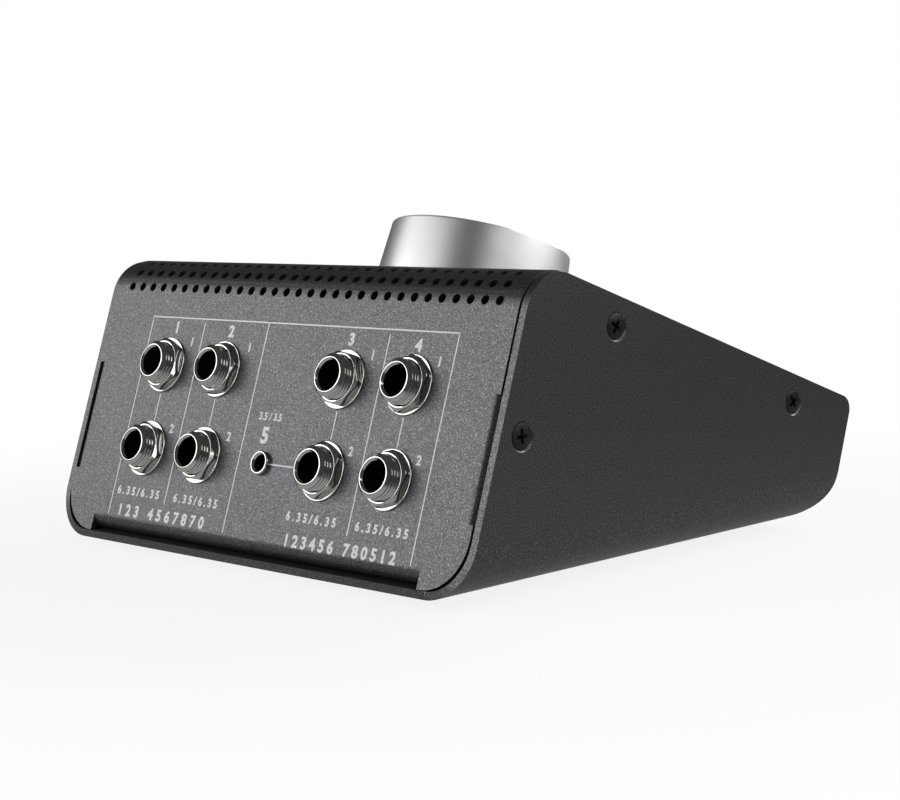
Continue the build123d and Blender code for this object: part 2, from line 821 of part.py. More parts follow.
with BuildPart() as mini_jack_board:
    with BuildSketch(rear_plane(mini_x, mini_board_front, mini_board_row)):
        Rectangle(mini_board_width, mini_board_height)
        with Locations((0, mini_tail_row - mini_board_rise), (0, -mini_tail_row - mini_board_rise)):
            Circle(mini_tail_hole_radius, mode=Mode.SUBTRACT)
        with Locations((0, pin_row - mini_board_row)):
            with GridLocations(pin_pitch, pin_pitch, pin_count, 1):
                Circle(pin_hole / 2, mode=Mode.SUBTRACT)
    extrude(amount=-board_thickness)
finish(mini_jack_board, "mini_jack_board")

with BuildPart() as mini_jack_header:
    with BuildSketch(rear_plane(mini_x, mini_board_back, pin_row)):
        Rectangle(pin_count * pin_pitch, pin_block_width)
    extrude(amount=mini_board_back - jack_board_front)
    with BuildSketch(rear_plane(mini_x, mini_board_front - pin_stand, pin_row)):
        with GridLocations(pin_pitch, pin_pitch, pin_count, 1):
            Rectangle(pin_width, pin_width)
    extrude(amount=mini_board_front - jack_board_back - 2 * pin_stand)
finish(mini_jack_header, "mini_jack_header")

# ================= Boards and wiring =================

with BuildPart() as jack_board:
    with BuildSketch(rear_plane(0, jack_board_front, 0)):
        with Locations((0, (jack_board_low + jack_board_high) / 2)):
            Rectangle(case_width - 2 * jack_board_side_inset, jack_board_high - jack_board_low)
        with Locations(*[(-x, row + side * tail_row) for x, row in jack_places for side in (1, -1)]):
            SlotOverall(spring_width + pin_slot_clearance, pin_hole, mode=Mode.SUBTRACT)
        with Locations(*[(-x - lug_tail, row) for x, row in jack_places]):
            SlotOverall(lug_width + pin_slot_clearance, pin_hole, rotation=90, mode=Mode.SUBTRACT)
        with Locations((-mini_x, pin_row)):
            with GridLocations(pin_pitch, pin_pitch, pin_count, 1):
                Circle(pin_hole / 2, mode=Mode.SUBTRACT)
    extrude(amount=-board_thickness)
finish(jack_board, "jack_board")

with BuildPart() as control_board:
    with BuildSketch(top_plane(0, 0, board_face)):
        with Locations((0, -(control_board_rear + control_board_front) / 2)):
            Rectangle(case_width - 2 * control_board_side_inset, control_board_front - control_board_rear)
        with Locations((0, -knob_depth)):
            window = pot_width + 2 * control_board_window_gap
            Rectangle(window, window, mode=Mode.SUBTRACT)
        with Locations(*[(x, -depth) for x, depth in standoff_places]):
            Circle(screw_radius + screw_hole_clearance, mode=Mode.SUBTRACT)
    extrude(amount=-board_thickness)
finish(control_board, "control_board")

with BuildPart() as board_standoffs:
    for x, depth in standoff_places:
        with BuildSketch(top_plane(x, depth, board_face)):
            RegularPolygon(standoff_flats / 2, 6, major_radius=False)
            Circle(screw_radius + tapped_hole_clearance, mode=Mode.SUBTRACT)
        extrude(amount=control_board_drop)
finish(board_standoffs, "board_standoffs")

with BuildPart() as board_screws:
    for x, depth in standoff_places:
        with BuildSketch(top_plane(x, depth, board_back)):
            Circle(screw_radius)
        extrude(amount=screw_length)
        with BuildSketch(top_plane(x, depth, board_back)):
            Circle(board_screw_head_radius)
        extrude(amount=-board_screw_head_height)
        with BuildSketch(top_plane(x, depth, board_back - board_screw_head_height)):
            Rectangle(board_screw_recess_length, board_screw_recess_width)
            Rectangle(board_screw_recess_width, board_screw_recess_length)
        extrude(amount=board_screw_recess_depth, mode=Mode.SUBTRACT)
finish(board_screws, "board_screws")

# Ribbon cable between the two boards, with a plug and header at each end
ribbon_plug_width = ribbon_width + 2 * ribbon_plug_side
upper_plug_end = board_back - ribbon_plug_length
lower_plug_end = jack_board_back + ribbon_plug_length
ribbon_row = upper_plug_end - ribbon_drop
with BuildPart() as ribbon_plugs:
    with BuildSketch(rear_plane(ribbon_x, jack_board_back, ribbon_row)):
        Rectangle(ribbon_plug_width, ribbon_plug_thickness)
    extrude(amount=-ribbon_plug_length)
    with BuildSketch(top_plane(ribbon_x, ribbon_header_depth, board_back)):
        Rectangle(ribbon_plug_width, ribbon_plug_thickness)
    extrude(amount=-ribbon_plug_length)
    chamfer(ribbon_plugs.edges().filter_by(Axis.X), ribbon_plug_edge)
finish(ribbon_plugs, "ribbon_plugs")

with BuildPart() as ribbon_cable:
    with BuildSketch(side_plane(ribbon_x)):
        with BuildLine() as path:
            FilletPolyline(
                (-lower_plug_end, ribbon_row),
                (-ribbon_header_depth, ribbon_row),
                (-ribbon_header_depth, upper_plug_end),
                radius=ribbon_bend_radius,
            )
        trace(path.line, ribbon_thickness)
    extrude(amount=ribbon_width / 2, both=True)
finish(ribbon_cable, "ribbon_cable")

# ================= Attenuator =================

with BuildPart() as pot_plate:
    with BuildSketch(top_plane(0, knob_depth, top_inside)):
        RectangleRounded(pot_width, pot_width, pot_corner)
    extrude(amount=-pot_plate_thickness)
    with BuildSketch(top_plane(0, knob_depth, top_inside)):
        Circle(pot_thread_radius)
    extrude(amount=top_face - top_inside + pot_bushing_rise)
    chamfer(pot_plate.faces().sort_by(Axis(spot(0, 0, 0), case.z_dir))[-1].edges(), pot_bushing_edge)
    with BuildSketch(top_plane(0, knob_depth, top_inside - pot_plate_thickness)):
        Circle(shaft_radius + shaft_running_clearance)
    extrude(amount=pot_plate_thickness + cover_sheet + pot_bushing_rise, mode=Mode.SUBTRACT)
finish(pot_plate, "pot_plate")

gang_top = top_inside - pot_plate_thickness
with BuildPart() as pot_gangs:
    for gang in range(pot_gang_count):
        level = gang_top - (gang + 1) * pot_gang_thickness
        with BuildSketch(top_plane(0, knob_depth, level)):
            gang_width = pot_width - 2 * pot_gang_inset
            RectangleRounded(gang_width, gang_width, pot_gang_corner)
            Circle(shaft_radius + pot_gang_bore_gap, mode=Mode.SUBTRACT)
        extrude(amount=pot_gang_thickness - pot_gang_gap)
    with BuildSketch(top_plane(0, knob_depth, gang_top)):
        Circle(shaft_collar_radius + pot_gang_bore_gap)
    extrude(amount=-shaft_collar_thickness - 2 * shaft_collar_gap - pot_gang_gap, mode=Mode.SUBTRACT)
finish(pot_gangs, "pot_gangs")

hub_base = pot_bushing_rise + hub_clearance
hub_top = knob_gap + knob_height - knob_crown
shaft_top = hub_top - hub_cap
with BuildPart() as pot_shaft:
    shaft_low = gang_top - pot_gang_count * pot_gang_thickness + shaft_end_gap
    with BuildSketch(top_plane(0, knob_depth, shaft_low)):
        Circle(shaft_radius)
    extrude(amount=top_face + shaft_top - shaft_low)
    with BuildSketch(top_plane(0, knob_depth, gang_top - shaft_collar_gap)):
        Circle(shaft_collar_radius)
    extrude(amount=-shaft_collar_thickness)
    with BuildSketch(top_plane(0, knob_depth, top_face + hub_base)):
        with Locations((0, shaft_radius)):
            Rectangle(4 * shaft_radius, 2 * shaft_flat_depth)
    extrude(amount=shaft_top, mode=Mode.SUBTRACT)
finish(pot_shaft, "pot_shaft")

with BuildPart() as pot_washer:
    with BuildSketch(top_plane(0, knob_depth, top_face)):
        Circle(pot_washer_radius)
        Circle(pot_thread_radius + thread_clearance, mode=Mode.SUBTRACT)
    extrude(amount=pot_washer_thickness)
finish(pot_washer, "pot_washer")

with BuildPart() as pot_nut:
    add(
        hex_nut(
            top_plane(0, knob_depth, top_face + pot_washer_thickness),
            pot_nut_flats,
            pot_nut_thickness,
            pot_thread_radius + thread_clearance,
            pot_nut_turn,
        )
    )
finish(pot_nut, "pot_nut")

# ================= Knob =================

knob_section = Plane(origin=spot(0, knob_depth, top_face), x_dir=(1, 0, 0), z_dir=-case.y_dir)
knob_axis = Axis(spot(0, knob_depth, top_face), case.z_dir)
knob_top = knob_gap + knob_height
marker_centre = knob_top_radius - marker_rim_distance - marker_length / 2
with BuildPart() as knob_body:
    with BuildSketch(knob_section):
        with BuildLine():
            Polyline(
                (0, knob_top),
                (knob_top_radius - knob_edge, knob_top),
                (knob_top_radius, knob_top - knob_edge),
                (knob_base_radius, knob_gap),
                (knob_base_radius - knob_wall, knob_gap),
                (knob_top_radius - knob_wall, hub_top),
                (knob_boss_radius, hub_top),
                (knob_boss_radius, hub_base),
                (0, hub_base),
                close=True,
            )
        make_face()
    revolve(axis=knob_axis)
    with BuildSketch(top_plane(0, knob_depth, top_face + hub_base)):
        Circle(hub_radius)
    extrude(amount=hub_top - hub_base, mode=Mode.SUBTRACT)
    with BuildSketch(top_plane(0, knob_depth, top_face + knob_top)):
        with Locations((0, marker_centre)):
            Rectangle(marker_width, marker_length)
    extrude(amount=-marker_depth, mode=Mode.SUBTRACT)
finish(knob_body, "knob_body")

with BuildPart() as knob_marker:
    with BuildSketch(top_plane(0, knob_depth, top_face + knob_top - marker_depth)):
        with Locations((0, marker_centre)):
            Rectangle(marker_width, marker_length)
    extrude(amount=marker_depth)
finish(knob_marker, "knob_marker")

with BuildPart() as knob_hub:
    with BuildSketch(top_plane(0, knob_depth, top_face + hub_base)):
        Circle(hub_radius)
    extrude(amount=hub_top - hub_base)
    with BuildSketch(top_plane(0, knob_depth, top_face + hub_base)):
        Circle(shaft_radius + seat_clearance)
        with Locations((0, shaft_radius + seat_clearance)):
            Rectangle(4 * shaft_radius, 2 * shaft_flat_depth, mode=Mode.SUBTRACT)
    extrude(amount=shaft_top - hub_base + hub_cap_gap, mode=Mode.SUBTRACT)
finish(knob_hub, "knob_hub")

# ================= Push buttons =================

lip_top = top_inside - button_lip_gap
cap_bottom = lip_top - button_lip - button_skirt
plunger_top = cap_bottom + plunger_grip
switch_floor = board_face + switch_base
plunger_bottom = switch_floor + button_travel + plunger_gap
for number, (x, depth) in enumerate(button_spots, start=1):
    with BuildPart() as button_cap:
        with BuildSketch(top_plane(x, depth, cap_bottom)):
            RectangleRounded(button_width, button_length, button_corner)
        extrude(amount=top_face + button_rise - cap_bottom)
        fillet(button_cap.faces().sort_by(Axis(spot(0, 0, 0), case.z_dir))[-1].edges(), button_edge)
        with BuildSketch(top_plane(x, depth, lip_top)):
            RectangleRounded(
                button_width + 2 * button_lip_reach, button_length + 2 * button_lip_reach, button_corner
            )
        extrude(amount=-button_lip)
        with BuildSketch(top_plane(x, depth, cap_bottom)):
            Rectangle(plunger_width + 2 * plunger_fit, plunger_width + 2 * plunger_fit)
        extrude(amount=plunger_grip, mode=Mode.SUBTRACT)
    finish(button_cap, f"button_cap_{number}")

    with BuildPart() as switch_plunger:
        with BuildSketch(top_plane(x, depth, plunger_bottom)):
            Rectangle(plunger_width, plunger_width)
        extrude(amount=plunger_top - plunger_bottom)
    finish(switch_plunger, f"switch_plunger_{number}")

    with BuildPart() as switch_body:
        with BuildSketch(top_plane(x, depth, board_face)):
            Rectangle(switch_width, switch_width)
        extrude(amount=switch_height)
        chamfer(switch_body.edges().filter_by(Axis(spot(0, 0, 0), case.z_dir)), switch_edge)
        with BuildSketch(top_plane(x, depth, switch_floor)):
            Rectangle(plunger_width + 2 * plunger_gap, plunger_width + 2 * plunger_gap)
        extrude(amount=switch_height, mode=Mode.SUBTRACT)
    finish(switch_body, f"switch_body_{number}")
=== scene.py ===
import json
import math

import bmesh
import bpy
from mathutils import Euler, Matrix, Vector


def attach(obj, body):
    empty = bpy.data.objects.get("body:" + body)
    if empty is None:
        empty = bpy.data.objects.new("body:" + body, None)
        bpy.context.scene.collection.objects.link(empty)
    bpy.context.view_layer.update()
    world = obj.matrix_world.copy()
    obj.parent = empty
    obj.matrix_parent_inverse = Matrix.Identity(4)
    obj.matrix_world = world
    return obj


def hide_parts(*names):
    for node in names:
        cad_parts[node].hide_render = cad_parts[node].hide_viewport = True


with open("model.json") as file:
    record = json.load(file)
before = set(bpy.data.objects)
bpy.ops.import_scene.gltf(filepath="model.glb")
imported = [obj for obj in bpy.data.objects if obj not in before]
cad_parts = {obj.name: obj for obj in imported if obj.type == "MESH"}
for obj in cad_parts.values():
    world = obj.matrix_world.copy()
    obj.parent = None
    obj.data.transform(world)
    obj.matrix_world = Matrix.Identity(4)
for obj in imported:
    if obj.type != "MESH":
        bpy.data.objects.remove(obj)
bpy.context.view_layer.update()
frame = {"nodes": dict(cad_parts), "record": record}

print("frame loaded,", len(frame["nodes"]), "nodes")

# The case is a box tipped forward by the lean, in mm and degrees. Depth runs in from the shell's
# rear edge and height runs up it; coverRise and coverBack are the cover's outer and inner faces.
case = {
    "rearY": 66.25309, "footHeight": 2.0, "lean": 19.0, "halfWidth": 67.5, "height": 69.2,
    "coverRise": 0.3, "coverBack": -1.2, "knobDepth": 52.0,
}
leanSin = math.sin(math.radians(case["lean"]))
leanCos = math.cos(math.radians(case["lean"]))
upPanel = Vector((0, -leanSin, leanCos))
outPanel = Vector((0, leanCos, leanSin))


def casePoint(across, depth, height):
    y = case["rearY"] - depth * leanCos - height * leanSin
    z = case["footHeight"] - depth * leanSin + height * leanCos
    return Vector((across, y, z)) / 1000


def facing(origin, out, up, turn=0.0):
    # local z stands out of the face, local y runs up it, turned about z by degrees
    place = Matrix((up.cross(out), up, out)).transposed().to_4x4()
    place.translation = origin
    return place @ Matrix.Rotation(math.radians(turn), 4, "Z")


def onPanel(across, height, out=0.0, turn=0.0):
    return facing(casePoint(across, -out, height), outPanel, upPanel, turn)


def onTop(across, depth, rise=0.0):
    return facing(casePoint(across, depth, case["height"] + rise), upPanel, outPanel)


def onSide(sign, depth, height, turn=0.0):
    origin = casePoint(sign * case["halfWidth"], depth, height)
    return facing(origin, Vector((sign, 0, 0)), upPanel, turn)


def onFloor(across, y, turn=0.0):
    place = Vector((across, y, case["footHeight"])) / 1000
    return facing(place, Vector((0, 0, -1)), Vector((0, 1, 0)), turn)


def linear(hexColour):
    # undoes the screen's curve
    parts = [int(hexColour[i:i + 2], 16) / 255 for i in (1, 3, 5)]
    light = [p / 12.92 if p < 0.04045 else ((p + 0.055) / 1.055) ** 2.4 for p in parts]
    return (*light, 1.0)


def addNode(tree, kind, settings=None, inputs=None):
    node = tree.nodes.new(kind)
    for key, value in (settings or {}).items():
        setattr(node, key, value)
    for key, value in (inputs or {}).items():
        if isinstance(value, bpy.types.NodeSocket):
            tree.links.new(value, node.inputs[key])
        else:
            node.inputs[key].default_value = value
    return node


def addMath(tree, operation, first, second):
    node = addNode(tree, "ShaderNodeMath", {"operation": operation}, {0: first, 1: second})
    return node.outputs["Value"]


def addVectorMath(tree, operation, first, second, output="Vector"):
    node = addNode(tree, "ShaderNodeVectorMath", {"operation": operation}, {0: first, 1: second})
    return node.outputs[output]


def addRamp(tree, factor, stops):
    ramp = addNode(tree, "ShaderNodeValToRGB", None, {"Fac": factor})
    first, last = ramp.color_ramp.elements
    first.position, last.position = stops[0][0], stops[-1][0]
    for place, _ in stops[1:-1]:
        ramp.color_ramp.elements.new(place)
    for element, (_, colour) in zip(ramp.color_ramp.elements, stops):
        element.color = linear(colour)
    return ramp.outputs["Color"]


def addNoise(tree, place, size, detail=2.0, roughness=0.5):
    # size is that of the largest forms, in mm
    noise = addNode(tree, "ShaderNodeTexNoise", None, {
        "Vector": place, "Scale": 1000 / size, "Detail": detail, "Roughness": roughness})
    return noise.outputs["Fac"]


def setRoughness(tree, shader, noise, ends):
    # nearly all of a noise lies between 0.3 and 0.7
    rough = addNode(tree, "ShaderNodeMapRange", None, {
        "Value": noise, "From Min": 0.3, "From Max": 0.7, "To Min": ends[0], "To Max": ends[1]})
    tree.links.new(rough.outputs["Result"], shader.inputs["Roughness"])


def setBump(tree, shader, height, depth, strength=0.5):
    # depth is in mm
    bump = addNode(tree, "ShaderNodeBump", None, {
        "Strength": strength, "Distance": depth / 1000, "Height": height})
    tree.links.new(bump.outputs["Normal"], shader.inputs["Normal"])


def newFinish(name):
    finish = bpy.data.materials.new(name)
    finish.use_nodes = True
    tree = finish.node_tree
    place = addNode(tree, "ShaderNodeTexCoord").outputs["Object"]
    return finish, tree, tree.nodes["Principled BSDF"], place


def grainedFinish(name, look):
    # look: colour stops over the grain, size and bump height of the grain in mm, and the
    # roughness of its glossiest and dullest patches; coat is a weight and a roughness
    shared = {"detail": 3.0, "breakUp": 0.6, "patch": 9.0}
    finish, tree, shader, place = newFinish(name)
    grain = addNoise(tree, place, look["grain"], shared["detail"], shared["breakUp"])
    tree.links.new(addRamp(tree, grain, look["stops"]), shader.inputs["Base Color"])
    setRoughness(tree, shader, addNoise(tree, place, shared["patch"]), look["rough"])
    setBump(tree, shader, grain, look["bump"], look.get("bumpStrength", 0.5))
    shader.inputs["Metallic"].default_value = look.get("metallic", 0.0)
    if "coat" in look:
        shader.inputs["Coat Weight"].default_value = look["coat"][0]
        shader.inputs["Coat Roughness"].default_value = look["coat"][1]
    return finish


def powderCoatFinish():
    # Powder coat full of aluminium flake: grey where it mirrors a light, near black where it
    # doesn't, with fine glinting specks. Flake and peel are size in mm, detail and roughness.
    look = {
        "flake": (0.30, 2.0, 0.65), "peel": (0.6, 3.0, 0.55), "peelHeight": 0.016,
        "rough": (0.44, 0.36), "metallic": 0.85,
        "stops": [(0.30, "#3C3C3E"), (0.44, "#4E4E50"), (0.56, "#5C5C5E"), (0.72, "#8A8A8D")],
    }
    finish, tree, shader, place = newFinish("metallicPowderCoat")
    flake = addNoise(tree, place, *look["flake"])
    tree.links.new(addRamp(tree, flake, look["stops"]), shader.inputs["Base Color"])
    setRoughness(tree, shader, flake, look["rough"])
    setBump(tree, shader, addNoise(tree, place, *look["peel"]), look["peelHeight"])
    shader.inputs["Metallic"].default_value = look["metallic"]
    return finish


def turnedAluminiumFinish():
    # Satin anodised aluminium, turned on a lathe: its fine rings, 0.14 mm apart, spread each
    # light into a streak along the axis
    look = {
        "ring": 0.14, "ringDetail": 3.0, "ringBreakUp": 0.7, "relief": 0.006, "grain": 0.35,
        "cloud": (6.0, 3.0), "rough": (0.48, 0.53), "streak": 0.55,
        "stops": [(0.3, "#E0E1E2"), (0.7, "#EDEEEF")],
    }
    finish, tree, shader, place = newFinish("turnedAluminium")
    along = addVectorMath(tree, "DOT_PRODUCT", place, upPanel, "Value")
    rings = addNode(tree, "ShaderNodeTexNoise", {"noise_dimensions": "1D"}, {
        "W": along, "Scale": 1000 / look["ring"], "Detail": look["ringDetail"],
        "Roughness": look["ringBreakUp"]}).outputs["Fac"]
    tree.links.new(addRamp(tree, rings, look["stops"]), shader.inputs["Base Color"])
    setRoughness(tree, shader, addNoise(tree, place, *look["cloud"]), look["rough"])
    relief = addMath(tree, "ADD", rings, addNoise(tree, place, look["grain"]))
    setBump(tree, shader, relief, look["relief"])
    # the streak runs square to the way round the axis
    onAxis = casePoint(0, case["knobDepth"], case["height"])
    fromAxis = addVectorMath(tree, "SUBTRACT", place, onAxis)
    around = addVectorMath(tree, "CROSS_PRODUCT", upPanel, fromAxis)
    normal = addNode(tree, "ShaderNodeNewGeometry").outputs["Normal"]
    across = addVectorMath(tree, "CROSS_PRODUCT", around, normal)
    tree.links.new(across, shader.inputs["Tangent"])
    shader.inputs["Anisotropic"].default_value = look["streak"]
    shader.inputs["Metallic"].default_value = 1.0
    return finish


def ribbonFinish():
    # Grey PVC flat cable with shallow ribbing 8 mm apart at this scale, with painted shade in its
    # grooves
    look = {
        "scale": 39.370079, "ribHeight": 0.3, "rough": 0.5,
        "stops": [(0.0, "#5C5C60"), (1.0, "#8A8A8E")],
    }
    finish, tree, shader, place = newFinish("ribbonCablePvc")
    ribsAndShade = addNode(tree, "ShaderNodeTexWave", {"bands_direction": "X", "wave_profile": "SIN"}, {
        "Vector": place, "Scale": look["scale"], "Distortion": 0.0, "Detail": 0.0}).outputs["Fac"]
    # the grey follows the rib height: painted shade in the grooves, painted light on the crests
    tree.links.new(addRamp(tree, ribsAndShade, look["stops"]), shader.inputs["Base Color"])
    setBump(tree, shader, ribsAndShade, look["ribHeight"], 1.0)
    shader.inputs["Roughness"].default_value = look["rough"]
    return finish


finishes = {
    "case_coat": powderCoatFinish(),
    "knob_aluminium": turnedAluminiumFinish(),
    "ribbon_grey": ribbonFinish(),
    # Black-oxide steel: near-black, oily sheen, worn a little paler in patches
    "black_screw": grainedFinish("blackOxideSteel", {
        "stops": [(0.35, "#161617"), (0.7, "#2C2C2D")], "grain": 0.25, "bump": 0.004,
        "rough": (0.30, 0.45), "metallic": 0.5}),
    # Moulded nitrile foot: dead matt with a faint bloom
    "foot_rubber": grainedFinish("nitrileRubber", {
        "stops": [(0.3, "#171717"), (0.7, "#262626")], "grain": 0.4, "bump": 0.02,
        "rough": (0.75, 0.9)}),
    # Glass-filled nylon: spark-eroded mould skin, slightly mottled
    "black_plastic": grainedFinish("glassFilledNylon", {
        "stops": [(0.3, "#101011"), (0.7, "#1A1A1B")], "grain": 0.3, "bump": 0.01,
        "rough": (0.55, 0.7)}),
    # Bright nickel over brass: mirror-like, with faint handling haze
    "bright_nickel": grainedFinish("brightNickelPlate", {
        "stops": [(0.3, "#C9C8C4"), (0.7, "#D9D8D5")], "grain": 0.5, "bump": 0.0012,
        "rough": (0.08, 0.15), "metallic": 1.0, "bumpStrength": 0.3}),
    # Tinned phosphor bronze: warm grey, softly streaked by the die
    "contact_bronze": grainedFinish("tinnedBronze", {
        "stops": [(0.3, "#A08A5E"), (0.7, "#C0AE86")], "grain": 0.6, "bump": 0.003,
        "rough": (0.25, 0.4), "metallic": 1.0}),
    # Glass-epoxy board under green solder mask: glossy, with the weave just showing
    "circuit_board": grainedFinish("solderMaskGreen", {
        "stops": [(0.3, "#0B3A20"), (0.7, "#14512F")], "grain": 0.8, "bump": 0.008,
        "rough": (0.28, 0.4), "coat": (0.3, 0.15)}),
    # Clear zinc plate on turned steel: cool grey, satin
    "plated_steel": grainedFinish("zincPlatedSteel", {
        "stops": [(0.3, "#9EA1A5"), (0.7, "#BCBFC3")], "grain": 0.35, "bump": 0.003,
        "rough": (0.28, 0.42), "metallic": 1.0}),
    # White filled line on the knob: enamel, slightly uneven and glossy
    "marker_white": grainedFinish("whiteEnamel", {
        "stops": [(0.3, "#DADADA"), (0.7, "#E8E8E8")], "grain": 0.5, "bump": 0.004,
        "rough": (0.25, 0.35)}),
    # Machined brass: yellow, with fine tool marks
    "hub_brass": grainedFinish("machinedBrass", {
        "stops": [(0.3, "#B8934F"), (0.7, "#D0AE6B")], "grain": 0.4, "bump": 0.003,
        "rough": (0.25, 0.4), "metallic": 1.0}),
    # ABS cap: fine spark-eroded texture, mid grey
    "button_plastic": grainedFinish("mattAbs", {
        "stops": [(0.3, "#8C8C8F"), (0.7, "#9C9C9F")], "grain": 0.35, "bump": 0.012,
        "rough": (0.5, 0.62)}),
    # Natural acetal: milky and slippery
    "plunger_plastic": grainedFinish("naturalAcetal", {
        "stops": [(0.3, "#CFCFC8"), (0.7, "#DCDCD6")], "grain": 0.8, "bump": 0.004,
        "rough": (0.3, 0.4)}),
    # Moulded PBT: dark and a little shiny
    "switch_plastic": grainedFinish("mouldedPbt", {
        "stops": [(0.3, "#1E1E20"), (0.7, "#2C2C2F")], "grain": 0.5, "bump": 0.006,
        "rough": (0.35, 0.45)}),
}
# Screen-printed ink: pale grey, satin, its film slightly uneven
printInk = grainedFinish("screenPrintInk", {
    "stops": [(0.25, "#D2D2D5"), (0.45, "#EAEAEC"), (0.7, "#F4F4F5")], "grain": 0.3,
    "bump": 0.01, "rough": (0.5, 0.6)})

for part in frame["record"]["subparts"]:
    node = frame["nodes"][part["node"]]
    node.data.materials.clear()
    node.data.materials.append(finishes[part["material_slot"]])


def newPiece(name, mesh, finish=None):
    piece = bpy.data.objects.new(name, mesh)
    bpy.context.scene.collection.objects.link(piece)
    if finish:
        mesh.materials.clear()
        mesh.materials.append(finish)
    return piece


def toMesh(shape, name, sharpAngle=35.0):
    # points that fall together become one, and edges over the angle stay sharp
    bmesh.ops.remove_doubles(shape, verts=shape.verts, dist=1e-7)
    bmesh.ops.recalc_face_normals(shape, faces=shape.faces)
    mesh = bpy.data.meshes.new(name)
    shape.to_mesh(mesh)
    shape.free()
    mesh.shade_smooth()
    mesh.set_sharp_from_angle(angle=math.radians(sharpAngle))
    return mesh


def rounded(corners, steps=3):
    # corners of a closed outline as (radius, height, fillet) in mm, each fillet a short curve
    points = []
    for i, (x, y, fillet) in enumerate(corners):
        corner = Vector((x, y))
        if fillet <= 0:
            points.append(corner)
            continue
        before = Vector(corners[i - 1][:2])
        after = Vector(corners[(i + 1) % len(corners)][:2])
        start = corner + (before - corner).normalized() * fillet
        end = corner + (after - corner).normalized() * fillet
        for k in range(steps + 1):
            t = k / steps
            points.append(start * (1 - t) ** 2 + corner * 2 * t * (1 - t) + end * t * t)
    return [(p.x, p.y) for p in points]


def pointColumn(shape, points, angle):
    # (radius, height) in mm, turned about local z
    return [shape.verts.new(Vector((r * math.cos(angle), r * math.sin(angle), z)) / 1000)
            for r, z in points]


def skin(shape, columns, closed=True, around=True):
    # faces between columns; closed joins a column's ends, around the last column to the first
    following = columns[1:] + columns[:1] if around else columns[1:]
    for here, there in zip(columns, following):
        for k in range(len(here) if closed else len(here) - 1):
            n = (k + 1) % len(here)
            shape.faces.new((here[k], there[k], there[n], here[n]))


def spun(outline, segments, closed=True):
    shape = bmesh.new()
    angles = [2 * math.pi * j / segments for j in range(segments)]
    skin(shape, [pointColumn(shape, outline, angle) for angle in angles], closed)
    return shape


def evaluated(piece):
    graph = bpy.context.evaluated_depsgraph_get()
    return bpy.data.meshes.new_from_object(piece.evaluated_get(graph))


def modified(piece, kind, settings):
    # works one modifier into the piece's mesh
    modifier = piece.modifiers.new(kind.lower(), kind)
    for key, value in settings.items():
        setattr(modifier, key, value)
    made = evaluated(piece)
    piece.modifiers.remove(modifier)
    piece.data = made


def discard(*pieces):
    for piece in pieces:
        bpy.data.objects.remove(piece)


def newTree(name, inputs, output):
    tree = bpy.data.node_groups.new(name, "GeometryNodeTree")
    for title, kind in inputs.items():
        tree.interface.new_socket(name=title, in_out="INPUT", socket_type="NodeSocket" + kind)
    tree.interface.new_socket(name=output, in_out="OUTPUT", socket_type="NodeSocketGeometry")
    return tree, addNode(tree, "NodeGroupInput").outputs


def placeAndColour(tree, points, instance, turns, finish, output):
    # the end of each tree: copies at the points, made real, in one material
    euler = addNode(tree, "FunctionNodeEulerToRotation", None, {"Euler": turns})
    placed = addNode(tree, "GeometryNodeInstanceOnPoints", None, {
        "Points": points, "Instance": instance, "Rotation": euler.outputs["Rotation"]})
    real = addNode(tree, "GeometryNodeRealizeInstances", None, {
        "Geometry": placed.outputs["Instances"]})
    coloured = addNode(tree, "GeometryNodeSetMaterial", None, {
        "Geometry": real.outputs["Geometry"], "Material": finish})
    addNode(tree, "NodeGroupOutput", None, {output: coloured.outputs["Geometry"]})
    return tree


def placingTree():
    # one piece set at many places
    tree, given = newTree("setAtPlaces", {
        "Places": "Geometry", "Piece": "Object", "Finish": "Material"}, "Pieces")
    piece = addNode(tree, "GeometryNodeObjectInfo", {"transform_space": "ORIGINAL"}, {
        "Object": given["Piece"]})
    turn = addNode(tree, "GeometryNodeInputNamedAttribute", {"data_type": "FLOAT_VECTOR"}, {
        "Name": "facing"})
    return placeAndColour(tree, given["Places"], piece.outputs["Geometry"],
                          turn.outputs["Attribute"], given["Finish"], "Pieces")


def fromTree(name, base, tree, inputs):
    # runs a tree on a base mesh and keeps the result as a plain piece
    maker = newPiece(name + "Maker", base)
    modifier = maker.modifiers.new("maker", "NODES")
    modifier.node_group = tree
    for item in tree.interface.items_tree:
        if item.in_out == "INPUT" and item.name in inputs:
            modifier[item.identifier] = inputs[item.name]
    made = evaluated(maker)
    discard(maker)
    made.name = name
    return newPiece(name, made)


setAtPlaces = placingTree()


def repeated(name, master, places, finish):
    points = bpy.data.meshes.new(name + "Places")
    points.from_pydata([place.translation for place in places], [], [])
    turns = points.attributes.new("facing", "FLOAT_VECTOR", "POINT")
    for slot, place in zip(turns.data, places):
        slot.vector = place.to_euler()
    piece = fromTree(name, points, setAtPlaces, {"Piece": master, "Finish": finish})
    discard(master)
    return piece


def finished(piece, body, slot, *nodes):
    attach(piece, body)
    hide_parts(*nodes)


# place in mm, turn in degrees; lens and sensor in mm
view = {
    "location": (-325.523, 331.627, 83.832), "rotation": (83.54895, 1.24026, -135.64831),
    "lens": 79.019, "sensor": 36.0, "nearest": 10.0,
}
camera = bpy.data.objects.new("camera", bpy.data.cameras.new("camera"))
bpy.context.scene.collection.objects.link(camera)
camera.location = Vector(view["location"]) / 1000
camera.rotation_euler = Euler([math.radians(a) for a in view["rotation"]])
camera.data.lens = view["lens"]
camera.data.sensor_width = view["sensor"]
camera.data.clip_start = view["nearest"] / 1000
bpy.context.scene.camera = camera
print("camera set")


